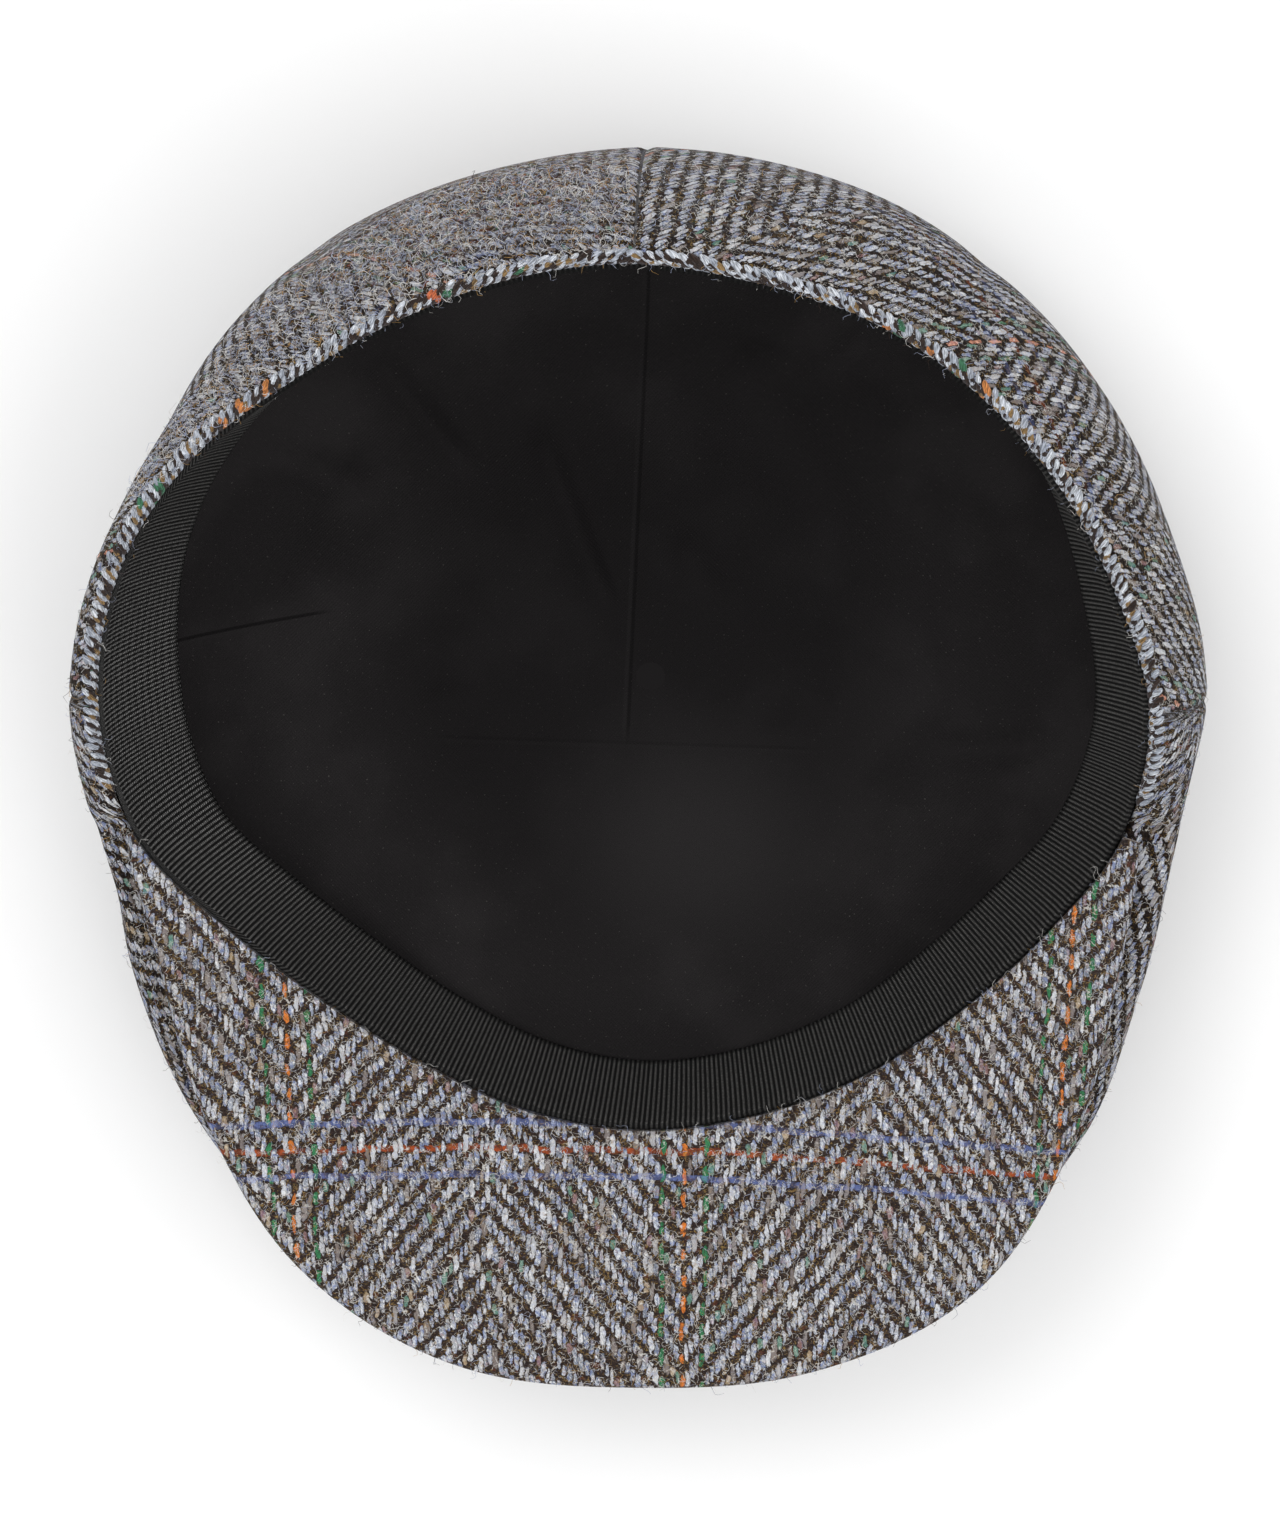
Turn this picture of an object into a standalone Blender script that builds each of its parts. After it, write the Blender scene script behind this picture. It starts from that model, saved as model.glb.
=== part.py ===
"""A tweed cap that lies upside down on its crown, with its opening up and its peak towards -Y.

Every piece is a loft round the middle of the crown. An azimuth of 90 degrees is the back of the cap,
0 its right side in this view, 180 its left side and -90 the middle of the peak. Lengths are in metres.
"""

import math
from collections import namedtuple

import bmesh
import bpy

MM = 0.001

# The head opening
HALF_WIDTH = 97 * MM  # half the width of the opening, the size that the tables are shares of
RIM_TILT = math.radians(17)  # the rim climbs from the peak towards the back

# The cloths
TWEED = 2 * MM
HEM = 3.2 * MM  # the rolled edge round the opening
HEM_RUN = 9 * MM  # the way over which the hem thins to the plain cloth
LINING = 1 * MM
RIBBON = 1 * MM
RIBBON_WIDTH = 25 * MM
COVER = 1.5 * MM  # the cloth under the peak
BOARD = 3 * MM  # the stiffened upper half of the peak
BOARD_TIP = 1.2 * MM  # the same at the peak's tips
GAP = 0.3 * MM  # left between pieces that lie on each other

# The peak
PEAK_RISE = math.radians(8)  # it climbs a little towards its front edge
PEAK_ARCH_RADIUS = 192 * MM
TIP_AZIMUTH = -15.5  # degrees, where the peak begins on both sides
TIP_RUN = 3.0  # degrees over which the crown's edge goes down under the tip
TIP_CLEARANCE = 0.8  # degrees between that edge and the tip's end
BOARD_TAPER = 14.0  # degrees over which the board reaches its full thickness
BLEND_START = 4 * MM  # how far in front of the crown's middle the rim leaves its plane
BLEND_END = 26 * MM  # and where it has reached the peak's arch

# The crown
SEAM_DEPTH = 0.8 * MM
SEAM_HALF_ANGLE = 1.4  # degrees on either side of a seam's groove
SEAM_FADE = 0.3  # the share of a seam's run over which its groove fades out
WALL_HANDLE = 0.55  # how full the wall is above the widest place, a share of its height
NOSE_HANDLE = 1.1  # the same under the peak, where the cloth lies along it before it turns
SWELL_HANDLE = 0.62  # how full the shoulder is below the widest place, a share of its height
FLOOR_HANDLE = 0.42  # how far the shoulder stays low, a share of the way to the flat

# The lining
LINING_DROP = 5 * MM  # of the lining's edge below the rim
LINING_SET = 1.2 * MM  # outside the opening's line
LINING_ROOM = 1.5 * MM  # between its edge and the crown's cloth, which slopes down over it in front
LINING_LIFT = 0.4 * MM  # between the lining and the crown's inside on the floor
LINING_LEAVE_ACROSS = 0.5  # its wall's first handle: a share of the way out to the widest place
LINING_LEAVE_DOWN = 0.3  # and of the way down to it
LINING_WALL_HANDLE = 0.45  # how full the wall is above the widest place, a share of its height
FOLD_HEIGHT = 1.6 * MM  # of the lining's highest fold

# The ribbon
RIBBON_DROP = 1.2 * MM  # of its upper edge below the rim
RIBBON_CLEARANCE = 1.6 * MM  # between its free edge and the lining, in front

AZIMUTH_STEP = 7.5
DRAPE_RINGS = 9  # between the hem and the widest place
SHOULDER_RINGS = 6  # between the widest place and the floor
FLOOR_RINGS = 3  # on the floor
HEM_STEPS = 3
LINING_RINGS = 4  # on each of the lining's three stretches
RIBBON_STEPS = 4
PEAK_STEPS = 5
TIP_STEPS = 2

# Where the peak's two halves reach their outer edge, as shares of the thickness from above
ROUND_ABOVE = (0.5, 0.88)
ROUND_BELOW = (0.12, 0.5)
RIBBON_BEND = 1.3  # the ribbon leans more towards its free edge: 1 is straight

# Shares of HALF_WIDTH, one row for each azimuth, right and left side apart: the opening's line and
# the crown's widest line
Plan = namedtuple("Plan", "azimuth rim_right rim_left swell_right swell_left")
PLAN = (
    Plan(90, 0.852, 0.852, 1.046, 1.046),
    Plan(75, 0.849, 0.853, 1.050, 1.047),
    Plan(60, 0.866, 0.862, 1.056, 1.056),
    Plan(45, 0.882, 0.893, 1.051, 1.056),
    Plan(30, 0.902, 0.957, 1.049, 1.042),
    Plan(15, 0.928, 1.010, 1.060, 1.035),
    Plan(0, 0.968, 1.030, 1.078, 1.040),
    Plan(-15, 0.958, 1.012, 1.066, 1.064),
    Plan(-30, 0.900, 0.921, 1.120, 1.140),
    Plan(-45, 0.866, 0.863, 1.220, 1.228),
    Plan(-60, 0.858, 0.845, 1.270, 1.270),
    Plan(-75, 0.857, 0.854, 1.180, 1.180),
    Plan(-90, 0.861, 0.861, 1.160, 1.160),
)

# Heights and reaches as shares of HALF_WIDTH: the height of the widest line, the angle at which the
# cloth leaves the rim on the right and the left (degrees, up is +), how far it keeps that way, and
# the edge of the flat on the floor
Drape = namedtuple("Drape", "azimuth swell_height leave_right leave_left leave_reach flat_reach")
DRAPE = (
    Drape(90, 0.37, -52, -52, 0.17, 0.76),
    Drape(75, 0.37, -52, -52, 0.17, 0.77),
    Drape(60, 0.36, -52, -52, 0.16, 0.78),
    Drape(45, 0.35, -52, -52, 0.14, 0.79),
    Drape(30, 0.33, -50, -58, 0.12, 0.80),
    Drape(15, 0.32, -48, -56, 0.10, 0.81),
    Drape(0, 0.31, -45, -43, 0.09, 0.82),
    Drape(-15, 0.30, -30, -30, 0.10, 0.83),
    Drape(-30, 0.29, 19, 19, 0.14, 0.85),
    Drape(-45, 0.26, 15.5, 15.5, 0.24, 0.87),
    Drape(-60, 0.20, 11, 11, 0.28, 0.87),
    Drape(-75, 0.145, 8, 8, 0.25, 0.84),
    Drape(-90, 0.125, 7, 7, 0.23, 0.82),
)

# Shares of HALF_WIDTH: the peak's outer edge
Edge = namedtuple("Edge", "azimuth right left")
EDGE = (
    Edge(0, 0.940, 0.960),
    Edge(-15, 0.988, 1.020),
    Edge(-30, 1.057, 1.062),
    Edge(-45, 1.184, 1.171),
    Edge(-60, 1.312, 1.294),
    Edge(-75, 1.355, 1.357),
    Edge(-90, 1.354, 1.354),
)

# Shares of RIBBON_WIDTH: how far the ribbon's free edge leans inwards
Lean = namedtuple("Lean", "azimuth right left")
LEAN = (
    Lean(90, -0.24, -0.24),
    Lean(60, -0.24, -0.22),
    Lean(30, 0.04, 0.12),
    Lean(0, 0.34, 0.48),
    Lean(-30, 0.40, 0.46),
    Lean(-60, 0.36, 0.38),
    Lean(-90, 0.33, 0.33),
)

# Shares of HALF_WIDTH: the lining's widest line, its height, and the edge of its flat
Inside = namedtuple("Inside", "azimuth swell_right swell_left swell_height flat_reach")
INSIDE = (
    Inside(90, 0.980, 0.980, 0.36, 0.68),
    Inside(60, 0.985, 0.985, 0.36, 0.70),
    Inside(30, 0.980, 0.970, 0.34, 0.72),
    Inside(0, 1.005, 1.010, 0.30, 0.73),
    Inside(-30, 0.930, 0.945, 0.16, 0.74),
    Inside(-60, 0.868, 0.860, 0.09, 0.70),
    Inside(-90, 0.872, 0.872, 0.08, 0.70),
)

# The crown's seams: azimuth, and how far each runs from the hem as a share of the wall
Seam = namedtuple("Seam", "azimuth run")
SEAMS = (
    Seam(90, 1.0),
    Seam(52.5, 0.62),
    Seam(127.5, 0.62),
    Seam(0, 0.45),
    Seam(180, 0.45),
)

# The lining's folds on its flat: the middle (shares of HALF_WIDTH), the way it runs (degrees from +X),
# its half length and half width (shares of HALF_WIDTH) and its height (a share of FOLD_HEIGHT)
Fold = namedtuple("Fold", "across along way half_length half_width height")
FOLDS = (
    Fold(-0.16, 0.31, 118, 0.22, 0.05, 1.0),
    Fold(-0.46, 0.52, 130, 0.20, 0.05, 0.9),
    Fold(0.38, 0.64, 62, 0.16, 0.05, 0.75),
    Fold(-0.68, 0.11, 178, 0.12, 0.04, 0.75),
    Fold(0.10, 0.12, 150, 0.20, 0.06, 0.6),
    Fold(0.0, 0.40, 90, 0.52, 0.025, 0.55),
)

Finish = namedtuple("Finish", "name colour roughness")
TWEED_FINISH = Finish("tweed", (0.21, 0.20, 0.20), 0.95)
LINING_FINISH = Finish("lining_cotton", (0.016, 0.015, 0.015), 0.85)
RIBBON_FINISH = Finish("grosgrain", (0.024, 0.023, 0.022), 0.75)


def smooth(share):
    """Return a share between 0 and 1 with a soft start and end."""
    share = min(1.0, max(0.0, share))
    return share * share * (3 - 2 * share)


def around(rows, right, left):
    """Return a function of the azimuth that runs smoothly through two columns of a table."""
    knots = [(row.azimuth, getattr(row, right)) for row in reversed(rows)]
    knots += [(180 - row.azimuth, getattr(row, left)) for row in rows]
    circle = []
    for azimuth, value in knots:
        if not circle or azimuth - circle[-1][0] > 1e-6:
            circle.append((azimuth, value))
    if circle[-1][0] - circle[0][0] > 359:
        circle.pop()
    count = len(circle)

    def knot(index):
        turns, place = divmod(index, count)
        return circle[place][0] + 360 * turns, circle[place][1]

    def value_at(azimuth):
        azimuth = (azimuth - circle[0][0]) % 360 + circle[0][0]
        index = max(i for i in range(count) if circle[i][0] <= azimuth + 1e-9)
        (a0, v0), (a1, v1), (a2, v2), (a3, v3) = (knot(index + step) for step in (-1, 0, 1, 2))
        t = (azimuth - a1) / (a2 - a1)
        start = (v2 - v0) / (a2 - a0) * (a2 - a1)
        end = (v3 - v1) / (a3 - a1) * (a2 - a1)
        h = t * t * (3 - 2 * t)
        return v1 * (1 - h) + v2 * h + start * t * (1 - t) ** 2 - end * t * t * (1 - t)

    return value_at


rim_share = around(PLAN, "rim_right", "rim_left")
swell_share = around(PLAN, "swell_right", "swell_left")
swell_height_share = around(DRAPE, "swell_height", "swell_height")
leave_angle = around(DRAPE, "leave_right", "leave_left")
leave_share = around(DRAPE, "leave_reach", "leave_reach")
flat_share = around(DRAPE, "flat_reach", "flat_reach")
edge_share = around(EDGE, "right", "left")
lean_share = around(LEAN, "right", "left")
inside_share = around(INSIDE, "swell_right", "swell_left")
inside_height_share = around(INSIDE, "swell_height", "swell_height")
inside_flat_share = around(INSIDE, "flat_reach", "flat_reach")

FRONT = -PLAN[-1].rim_right * HALF_WIDTH  # the rim's place in front, along Y
# The ribbon stands on the lining in front, and that gives the rim its height there
FRONT_DROP = RIBBON_WIDTH * math.sqrt(1 - LEAN[-1].right ** 2)
FRONT_HEIGHT = TWEED + LINING_LIFT + LINING + RIBBON_CLEARANCE + FRONT_DROP + RIBBON_DROP
RIM_HEIGHT = FRONT_HEIGHT - FRONT * math.tan(RIM_TILT)  # beside the middle of the crown


def spot(azimuth, radius):
    """Return the place on the plan at an azimuth in degrees, from the crown's middle."""
    return radius * math.cos(math.radians(azimuth)), radius * math.sin(math.radians(azimuth))


def reach_sideways(rim, swell):
    """Return how far the crown reaches to one side: the hem or the widest line, whichever is further."""
    radii = [(row.azimuth, max(getattr(row, rim) * HALF_WIDTH + HEM, getattr(row, swell) * HALF_WIDTH))
             for row in PLAN]
    return max(spot(azimuth, radius)[0] for azimuth, radius in radii)


# The crown's middle stands so that the whole cap's box is centred on the origin
MIDDLE_X = (reach_sideways("rim_left", "swell_left") - reach_sideways("rim_right", "swell_right")) / 2
MIDDLE_Y = (EDGE[-1].right - PLAN[0].swell_right) * HALF_WIDTH / 2


def peak_height(azimuth, radius):
    """Return the height of the peak's visible underside above a place."""
    x, y = spot(azimuth, radius)
    return FRONT_HEIGHT + math.tan(PEAK_RISE) * (FRONT - y) + x * x / (2 * PEAK_ARCH_RADIUS)


def rim_height(azimuth):
    """Return the height of the opening's line: a tilted plane that goes over into the peak's arch."""
    radius = rim_share(azimuth) * HALF_WIDTH
    y = spot(azimuth, radius)[1]
    blend = smooth((-y - BLEND_START) / (BLEND_END - BLEND_START))
    plane = RIM_HEIGHT + y * math.tan(RIM_TILT)
    return plane * (1 - blend) + peak_height(azimuth, radius) * blend


def before_tip(azimuth):
    """Return the degrees from the peak's nearer tip to an azimuth, counted towards the front."""
    from_front = abs((azimuth + 90 + 180) % 360 - 180)
    return TIP_AZIMUTH + 90 - from_front


def under_peak(azimuth):
    """Return 1 where the crown's edge lies under the peak, 0 behind the peak's tips."""
    return smooth((before_tip(azimuth) + TIP_RUN + TIP_CLEARANCE) / TIP_RUN)


def board(azimuth):
    """Return the thickness of the peak's stiff half."""
    return BOARD_TIP + (BOARD - BOARD_TIP) * smooth(before_tip(azimuth) / BOARD_TAPER)


def bezier(points, t):
    """Return the place at t on a cubic curve through two ends and two handles."""
    weights = ((1 - t) ** 3, 3 * t * (1 - t) ** 2, 3 * t * t * (1 - t), t ** 3)
    return tuple(sum(w * p[axis] for w, p in zip(weights, points)) for axis in (0, 1))


def crown_line(azimuth):
    """Return the middle line of the crown's cloth from the hem to the edge of the flat, as (r, z)."""
    hidden = under_peak(azimuth)
    rim = rim_share(azimuth) * HALF_WIDTH
    half = HEM / 2 * (1 - hidden) + TWEED / 2 * hidden
    below_peak = peak_height(azimuth, rim) - COVER - board(azimuth) - 2 * GAP
    top = rim_height(azimuth) * (1 - hidden) + below_peak * hidden - half
    start = (rim + half, top)
    angle = math.radians(leave_angle(azimuth))
    reach = leave_share(azimuth) * HALF_WIDTH
    swell = swell_share(azimuth) * HALF_WIDTH - TWEED / 2
    height = swell_height_share(azimuth) * HALF_WIDTH
    flat = flat_share(azimuth) * HALF_WIDTH
    low = TWEED / 2
    widest = (swell, height)
    handle = WALL_HANDLE * (1 - hidden) + NOSE_HANDLE * hidden
    upper = (start, (start[0] + reach * math.cos(angle), top + reach * math.sin(angle)),
             (swell, height + (top - height) * handle), widest)
    lower = (widest, (swell, height - (height - low) * SWELL_HANDLE),
             (flat + (swell - flat) * FLOOR_HANDLE, low), (flat, low))
    line = [bezier(upper, i / DRAPE_RINGS) for i in range(DRAPE_RINGS)]
    line += [bezier(lower, i / SHOULDER_RINGS) for i in range(SHOULDER_RINGS + 1)]
    line += [(flat * (1 - i / (FLOOR_RINGS + 1)), low) for i in range(1, FLOOR_RINGS + 1)]
    return line


def lining_line(azimuth):
    """Return the middle line of the lining from its edge behind the ribbon inwards, as (r, z)."""
    hidden = under_peak(azimuth)
    rim = rim_share(azimuth) * HALF_WIDTH
    below_crown = COVER + board(azimuth) + 2 * GAP + TWEED + LINING_ROOM + LINING / 2
    top = rim_height(azimuth) - LINING_DROP * (1 - hidden) - below_crown * hidden
    start = (rim + LINING_SET, top)
    swell = inside_share(azimuth) * HALF_WIDTH
    height = inside_height_share(azimuth) * HALF_WIDTH
    flat = inside_flat_share(azimuth) * HALF_WIDTH
    low = TWEED + LINING_LIFT + LINING / 2
    widest = (swell, height)
    leaving = (start[0] + (swell - start[0]) * LINING_LEAVE_ACROSS, top + (height - top) * LINING_LEAVE_DOWN)
    upper = (start, leaving, (swell, height + (top - height) * LINING_WALL_HANDLE), widest)
    lower = (widest, (swell, height - (height - low) * SWELL_HANDLE),
             (flat + (swell - flat) * FLOOR_HANDLE, low), (flat, low))
    line = [bezier(upper, i / LINING_RINGS) for i in range(LINING_RINGS)]
    line += [bezier(lower, i / LINING_RINGS) for i in range(LINING_RINGS + 1)]
    line += [(flat * (1 - i / LINING_RINGS), low) for i in range(1, LINING_RINGS)]
    return line


def normals(line):
    """Return the directions that point out of the crown along a line that runs from hem to middle."""
    found = []
    for i in range(len(line)):
        before = line[max(i - 1, 0)]
        after = line[min(i + 1, len(line) - 1)]
        dr, dz = after[0] - before[0], after[1] - before[1]
        length = math.hypot(dr, dz)
        found.append((-dz / length, dr / length))
    found[-1] = (0.0, -1.0)
    return found


def shell_section(line, halves, cap_steps):
    """Return the closed way round a cloth: outside from the middle to the hem, inside back again."""
    ways = normals(line)
    outer = [(r + n[0] * h, z + n[1] * h) for (r, z), n, h in zip(line, ways, halves)]
    inner = [(r - n[0] * h, z - n[1] * h) for (r, z), n, h in zip(line, ways, halves)]
    (r, z), n, h = line[0], ways[0], halves[0]
    back = (-n[1], n[0])
    turn = [math.pi * i / (cap_steps + 1) for i in range(1, cap_steps + 1)]
    cap = [(r + h * (n[0] * math.cos(a) + back[0] * math.sin(a)),
            z + h * (n[1] * math.cos(a) + back[1] * math.sin(a))) for a in turn]
    return outer[::-1] + cap + inner


def seam_groove(azimuth, share):
    """Return how deep the crown's outside lies at a place on its wall; share runs from the hem."""
    depth = 0.0
    for seam in SEAMS:
        away = abs((azimuth - seam.azimuth + 180) % 360 - 180)
        across = max(0.0, 1 - away / SEAM_HALF_ANGLE)
        fade = seam.run * SEAM_FADE
        depth += SEAM_DEPTH * across * (1 - smooth((share - seam.run + fade) / fade))
    return depth


def crown_section(azimuth):
    """Return the crown's closed section at an azimuth as (r, z)."""
    line = crown_line(azimuth)
    hidden = under_peak(azimuth)
    edge = HEM * (1 - hidden) + TWEED * hidden
    run = 0.0
    halves = []
    for i, place in enumerate(line):
        if i:
            run += math.dist(place, line[i - 1])
        halves.append((edge + (TWEED - edge) * smooth(run / HEM_RUN)) / 2)
    section = shell_section(line, halves, HEM_STEPS)
    wall = DRAPE_RINGS + SHOULDER_RINGS
    count = len(line)
    ways = normals(line)
    for i in range(wall):
        depth = seam_groove(azimuth, i / wall)
        r, z = section[count - 1 - i]
        section[count - 1 - i] = (r - ways[i][0] * depth, max(0.0, z - ways[i][1] * depth))
    return section


def fold_height(x, y):
    """Return how high the lining's folds stand at a place on its flat."""
    height = 0.0
    for fold in FOLDS:
        dx = x / HALF_WIDTH - fold.across
        dy = y / HALF_WIDTH - fold.along
        way = math.radians(fold.way)
        along = (dx * math.cos(way) + dy * math.sin(way)) / fold.half_length
        across = (dy * math.cos(way) - dx * math.sin(way)) / fold.half_width
        height += FOLD_HEIGHT * fold.height * math.exp(-along * along - across * across)
    return height


def folded(place):
    """Return a place of the lining lifted by the folds, which fade out up its wall."""
    x, y, z = place
    low = smooth((RIM_HEIGHT / 2 - z) / (RIM_HEIGHT / 2))
    return x, y, z + low * fold_height(x - MIDDLE_X, y - MIDDLE_Y)


def azimuths(seams):
    """Return the azimuths of a cloth's sections, closer together at its seams and behind the peak."""
    found = {-90 + AZIMUTH_STEP * i for i in range(round(360 / AZIMUTH_STEP))}
    for seam in seams:
        found |= {seam.azimuth - SEAM_HALF_ANGLE, seam.azimuth + SEAM_HALF_ANGLE}
    for step in range(TIP_STEPS + 1):
        behind = TIP_AZIMUTH + TIP_CLEARANCE + TIP_RUN * step / TIP_STEPS
        found |= {behind, 180 - behind}
    return sorted(found)


def peak_azimuths():
    """Return the azimuths of the peak's sections: its tips, the crown's own ones, and more in front."""
    under = [azimuth for azimuth in azimuths(()) if before_tip(azimuth) > 0]
    found = {azimuth if azimuth < 90 else azimuth - 360 for azimuth in under}
    half_steps = {azimuth + AZIMUTH_STEP / 2 for azimuth in found}
    found |= {azimuth for azimuth in half_steps if before_tip(azimuth) > BOARD_TAPER}
    return sorted(found | {TIP_AZIMUTH, -180 - TIP_AZIMUTH})


def placed(azimuth, section):
    """Return a section's places in the world."""
    points = []
    for r, z in section:
        x, y = spot(azimuth, r)
        points.append((MIDDLE_X + x, MIDDLE_Y + y, z))
    return points


def mesh_object(name, vertices, faces, finish, group):
    """Make one object of a mesh with its faces turned outwards, and give it its finish."""
    mesh = bpy.data.meshes.new(name)
    mesh.from_pydata(vertices, [], faces)
    shape = bmesh.new()
    shape.from_mesh(mesh)
    bmesh.ops.recalc_face_normals(shape, faces=shape.faces)
    for face in shape.faces:
        face.smooth = True
    shape.to_mesh(mesh)
    shape.free()
    thing = bpy.data.objects.new(name, mesh)
    thing.data.materials.append(finish)
    group.objects.link(thing)
    return thing


def ring_faces(sections, count, closed_section, full_turn=True):
    """Return the faces between sections that go round the crown's middle, a full turn or a part."""
    faces = []
    for s in range(sections if full_turn else sections - 1):
        t = (s + 1) % sections
        for i in range(count if closed_section else count - 1):
            j = (i + 1) % count
            faces.append((s * count + i, s * count + j, t * count + j, t * count + i))
    return faces


def shell_object(name, rows, poles, finish, group):
    """Make a cloth that closes at the crown's middle, outside and inside."""
    count = len(rows[0])
    vertices = [point for row in rows for point in row]
    faces = ring_faces(len(rows), count, False)
    for pole, place in zip(poles, (0, count - 1)):
        middle = len(vertices)
        vertices.append(pole)
        for s in range(len(rows)):
            t = (s + 1) % len(rows)
            faces.append((s * count + place, t * count + place, middle))
    return mesh_object(name, vertices, faces, finish, group)


def crown(finish, group):
    """Make the tweed crown."""
    rows = [placed(azimuth, crown_section(azimuth)) for azimuth in azimuths(SEAMS)]
    poles = ((MIDDLE_X, MIDDLE_Y, 0.0), (MIDDLE_X, MIDDLE_Y, TWEED))
    return shell_object("crown", rows, poles, finish, group)


def lining(finish, group):
    """Make the lining inside the crown."""
    rows = []
    for azimuth in azimuths(()):
        line = lining_line(azimuth)
        section = shell_section(line, [LINING / 2] * len(line), 1)
        rows.append([folded(place) for place in placed(azimuth, section)])
    low = TWEED + LINING_LIFT
    poles = [folded((MIDDLE_X, MIDDLE_Y, height)) for height in (low, low + LINING)]
    return shell_object("lining", rows, poles, finish, group)


def sweatband(finish, group):
    """Make the ribbon that stands inside the opening and leans inwards."""
    rows = []
    for azimuth in azimuths(()):
        top = rim_height(azimuth) - RIBBON_DROP
        outer = rim_share(azimuth) * HALF_WIDTH - GAP
        lean = lean_share(azimuth) * RIBBON_WIDTH
        drop = math.sqrt(RIBBON_WIDTH ** 2 - lean ** 2)
        front = []
        back = []
        for i in range(RIBBON_STEPS + 1):
            share = i / RIBBON_STEPS
            inward = lean * share ** RIBBON_BEND
            front.append((outer - RIBBON - inward, top - drop * share))
            back.append((outer - inward, top - drop * share))
        rows.append(placed(azimuth, front + back[::-1]))
    count = len(rows[0])
    vertices = [point for row in rows for point in row]
    return mesh_object("sweatband", vertices, ring_faces(len(rows), count, True), finish, group)


def peak_half(name, top_drop, thickness_at, nose_shares, finish, group):
    """Make one half of the peak: a plate that follows the arch, with its outer edge rounded."""
    rows = []
    for azimuth in peak_azimuths():
        thickness = thickness_at(azimuth)
        inner = rim_share(azimuth) * HALF_WIDTH
        outer = edge_share(azimuth) * HALF_WIDTH
        upper = []
        lower = []
        for i in range(PEAK_STEPS + 1):
            radius = inner + (outer - thickness / 2 - inner) * i / PEAK_STEPS
            height = peak_height(azimuth, radius) - top_drop
            upper.append((radius, height))
            lower.append((radius, height - thickness))
        side = peak_height(azimuth, outer) - top_drop
        nose = [(outer, side - thickness * share) for share in nose_shares]
        rows.append(placed(azimuth, upper + nose + lower[::-1]))
    count = len(rows[0])
    vertices = [point for row in rows for point in row]
    last = (len(rows) - 1) * count
    faces = ring_faces(len(rows), count, True, False)
    faces.append(tuple(range(count)))
    faces.append(tuple(last + i for i in range(count)))
    return mesh_object(name, vertices, faces, finish, group)


def cloth(finish):
    """Make the plain material of a finish."""
    material = bpy.data.materials.new(finish.name)
    material.use_nodes = True
    shader = material.node_tree.nodes["Principled BSDF"]
    shader.inputs["Base Color"].default_value = (*finish.colour, 1.0)
    shader.inputs["Roughness"].default_value = finish.roughness
    shader.inputs["Metallic"].default_value = 0.0
    return material


for thing in list(bpy.data.objects):
    bpy.data.objects.remove(thing, do_unlink=True)

cap = bpy.data.collections.new("tweed_cap")
bpy.context.scene.collection.children.link(cap)

tweed = cloth(TWEED_FINISH)
cotton = cloth(LINING_FINISH)
grosgrain = cloth(RIBBON_FINISH)

crown(tweed, cap)
lining(cotton, cap)
sweatband(grosgrain, cap)
peak_half("peak_underside", 0.0, lambda azimuth: COVER, ROUND_ABOVE, tweed, cap)
peak_half("peak_upper", COVER + GAP, board, ROUND_BELOW, tweed, cap)
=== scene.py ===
"""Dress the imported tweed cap: its cloths, lining, ribbon, loose fibres, floor, light and camera.

The cap lies upside down on its crown. An azimuth of 90 degrees is its back, 0 its right side as the
camera sees it, 180 its left side and -90 the middle of its peak. Lengths are in metres.
"""

import logging
import math
from dataclasses import dataclass
from enum import Enum
from itertools import starmap
from typing import Any, Callable, NamedTuple, Sequence

import bmesh
import bpy
import numpy as np
from mathutils import Matrix, Vector


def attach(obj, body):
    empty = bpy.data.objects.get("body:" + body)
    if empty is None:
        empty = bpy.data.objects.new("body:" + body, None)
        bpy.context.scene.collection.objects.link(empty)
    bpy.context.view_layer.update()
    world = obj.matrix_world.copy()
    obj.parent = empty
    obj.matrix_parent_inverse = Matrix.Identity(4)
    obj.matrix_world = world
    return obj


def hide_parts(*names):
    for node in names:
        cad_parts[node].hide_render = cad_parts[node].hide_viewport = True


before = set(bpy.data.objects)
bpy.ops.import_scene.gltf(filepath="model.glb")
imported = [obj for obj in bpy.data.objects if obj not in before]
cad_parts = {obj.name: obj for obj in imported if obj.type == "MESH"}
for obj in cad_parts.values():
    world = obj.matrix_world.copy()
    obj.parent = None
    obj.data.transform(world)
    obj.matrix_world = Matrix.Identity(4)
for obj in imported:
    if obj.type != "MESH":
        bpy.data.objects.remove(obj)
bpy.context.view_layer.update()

MM = 0.001
BODY = "root"
LOG = logging.getLogger("cap")
FLOAT = "NodeSocketFloat"

Array = np.ndarray
Triple = tuple[float, float, float]
Colour = Triple
Piece = bpy.types.Object
Material = bpy.types.Material
Mesh = bpy.types.Mesh
Tree = bpy.types.NodeTree
Feeds = dict[Any, Any] | None


class Slot(Enum):
    """The material slots of the record."""

    TWEED = "tweed"
    LINING = "lining_cotton"
    RIBBON = "grosgrain"


class Plan(NamedTuple):
    """Shares of half the opening's width: its line and the crown's widest line, right and left."""

    azimuth: float
    rim_right: float
    rim_left: float
    swell_right: float
    swell_left: float


class Drape(NamedTuple):
    """How the crown's cloth falls: shares of half the opening's width, and an angle in degrees."""

    azimuth: float
    swell_height: float
    leave_right: float
    leave_left: float
    leave_reach: float
    flat_reach: float


class Sides(NamedTuple):
    """A value on the right and the left side at an azimuth."""

    azimuth: float
    right: float
    left: float


class Inside(NamedTuple):
    """Shares of half the opening's width: the lining's widest line, its height and its flat."""

    azimuth: float
    swell_right: float
    swell_left: float
    swell_height: float
    flat_reach: float


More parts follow.
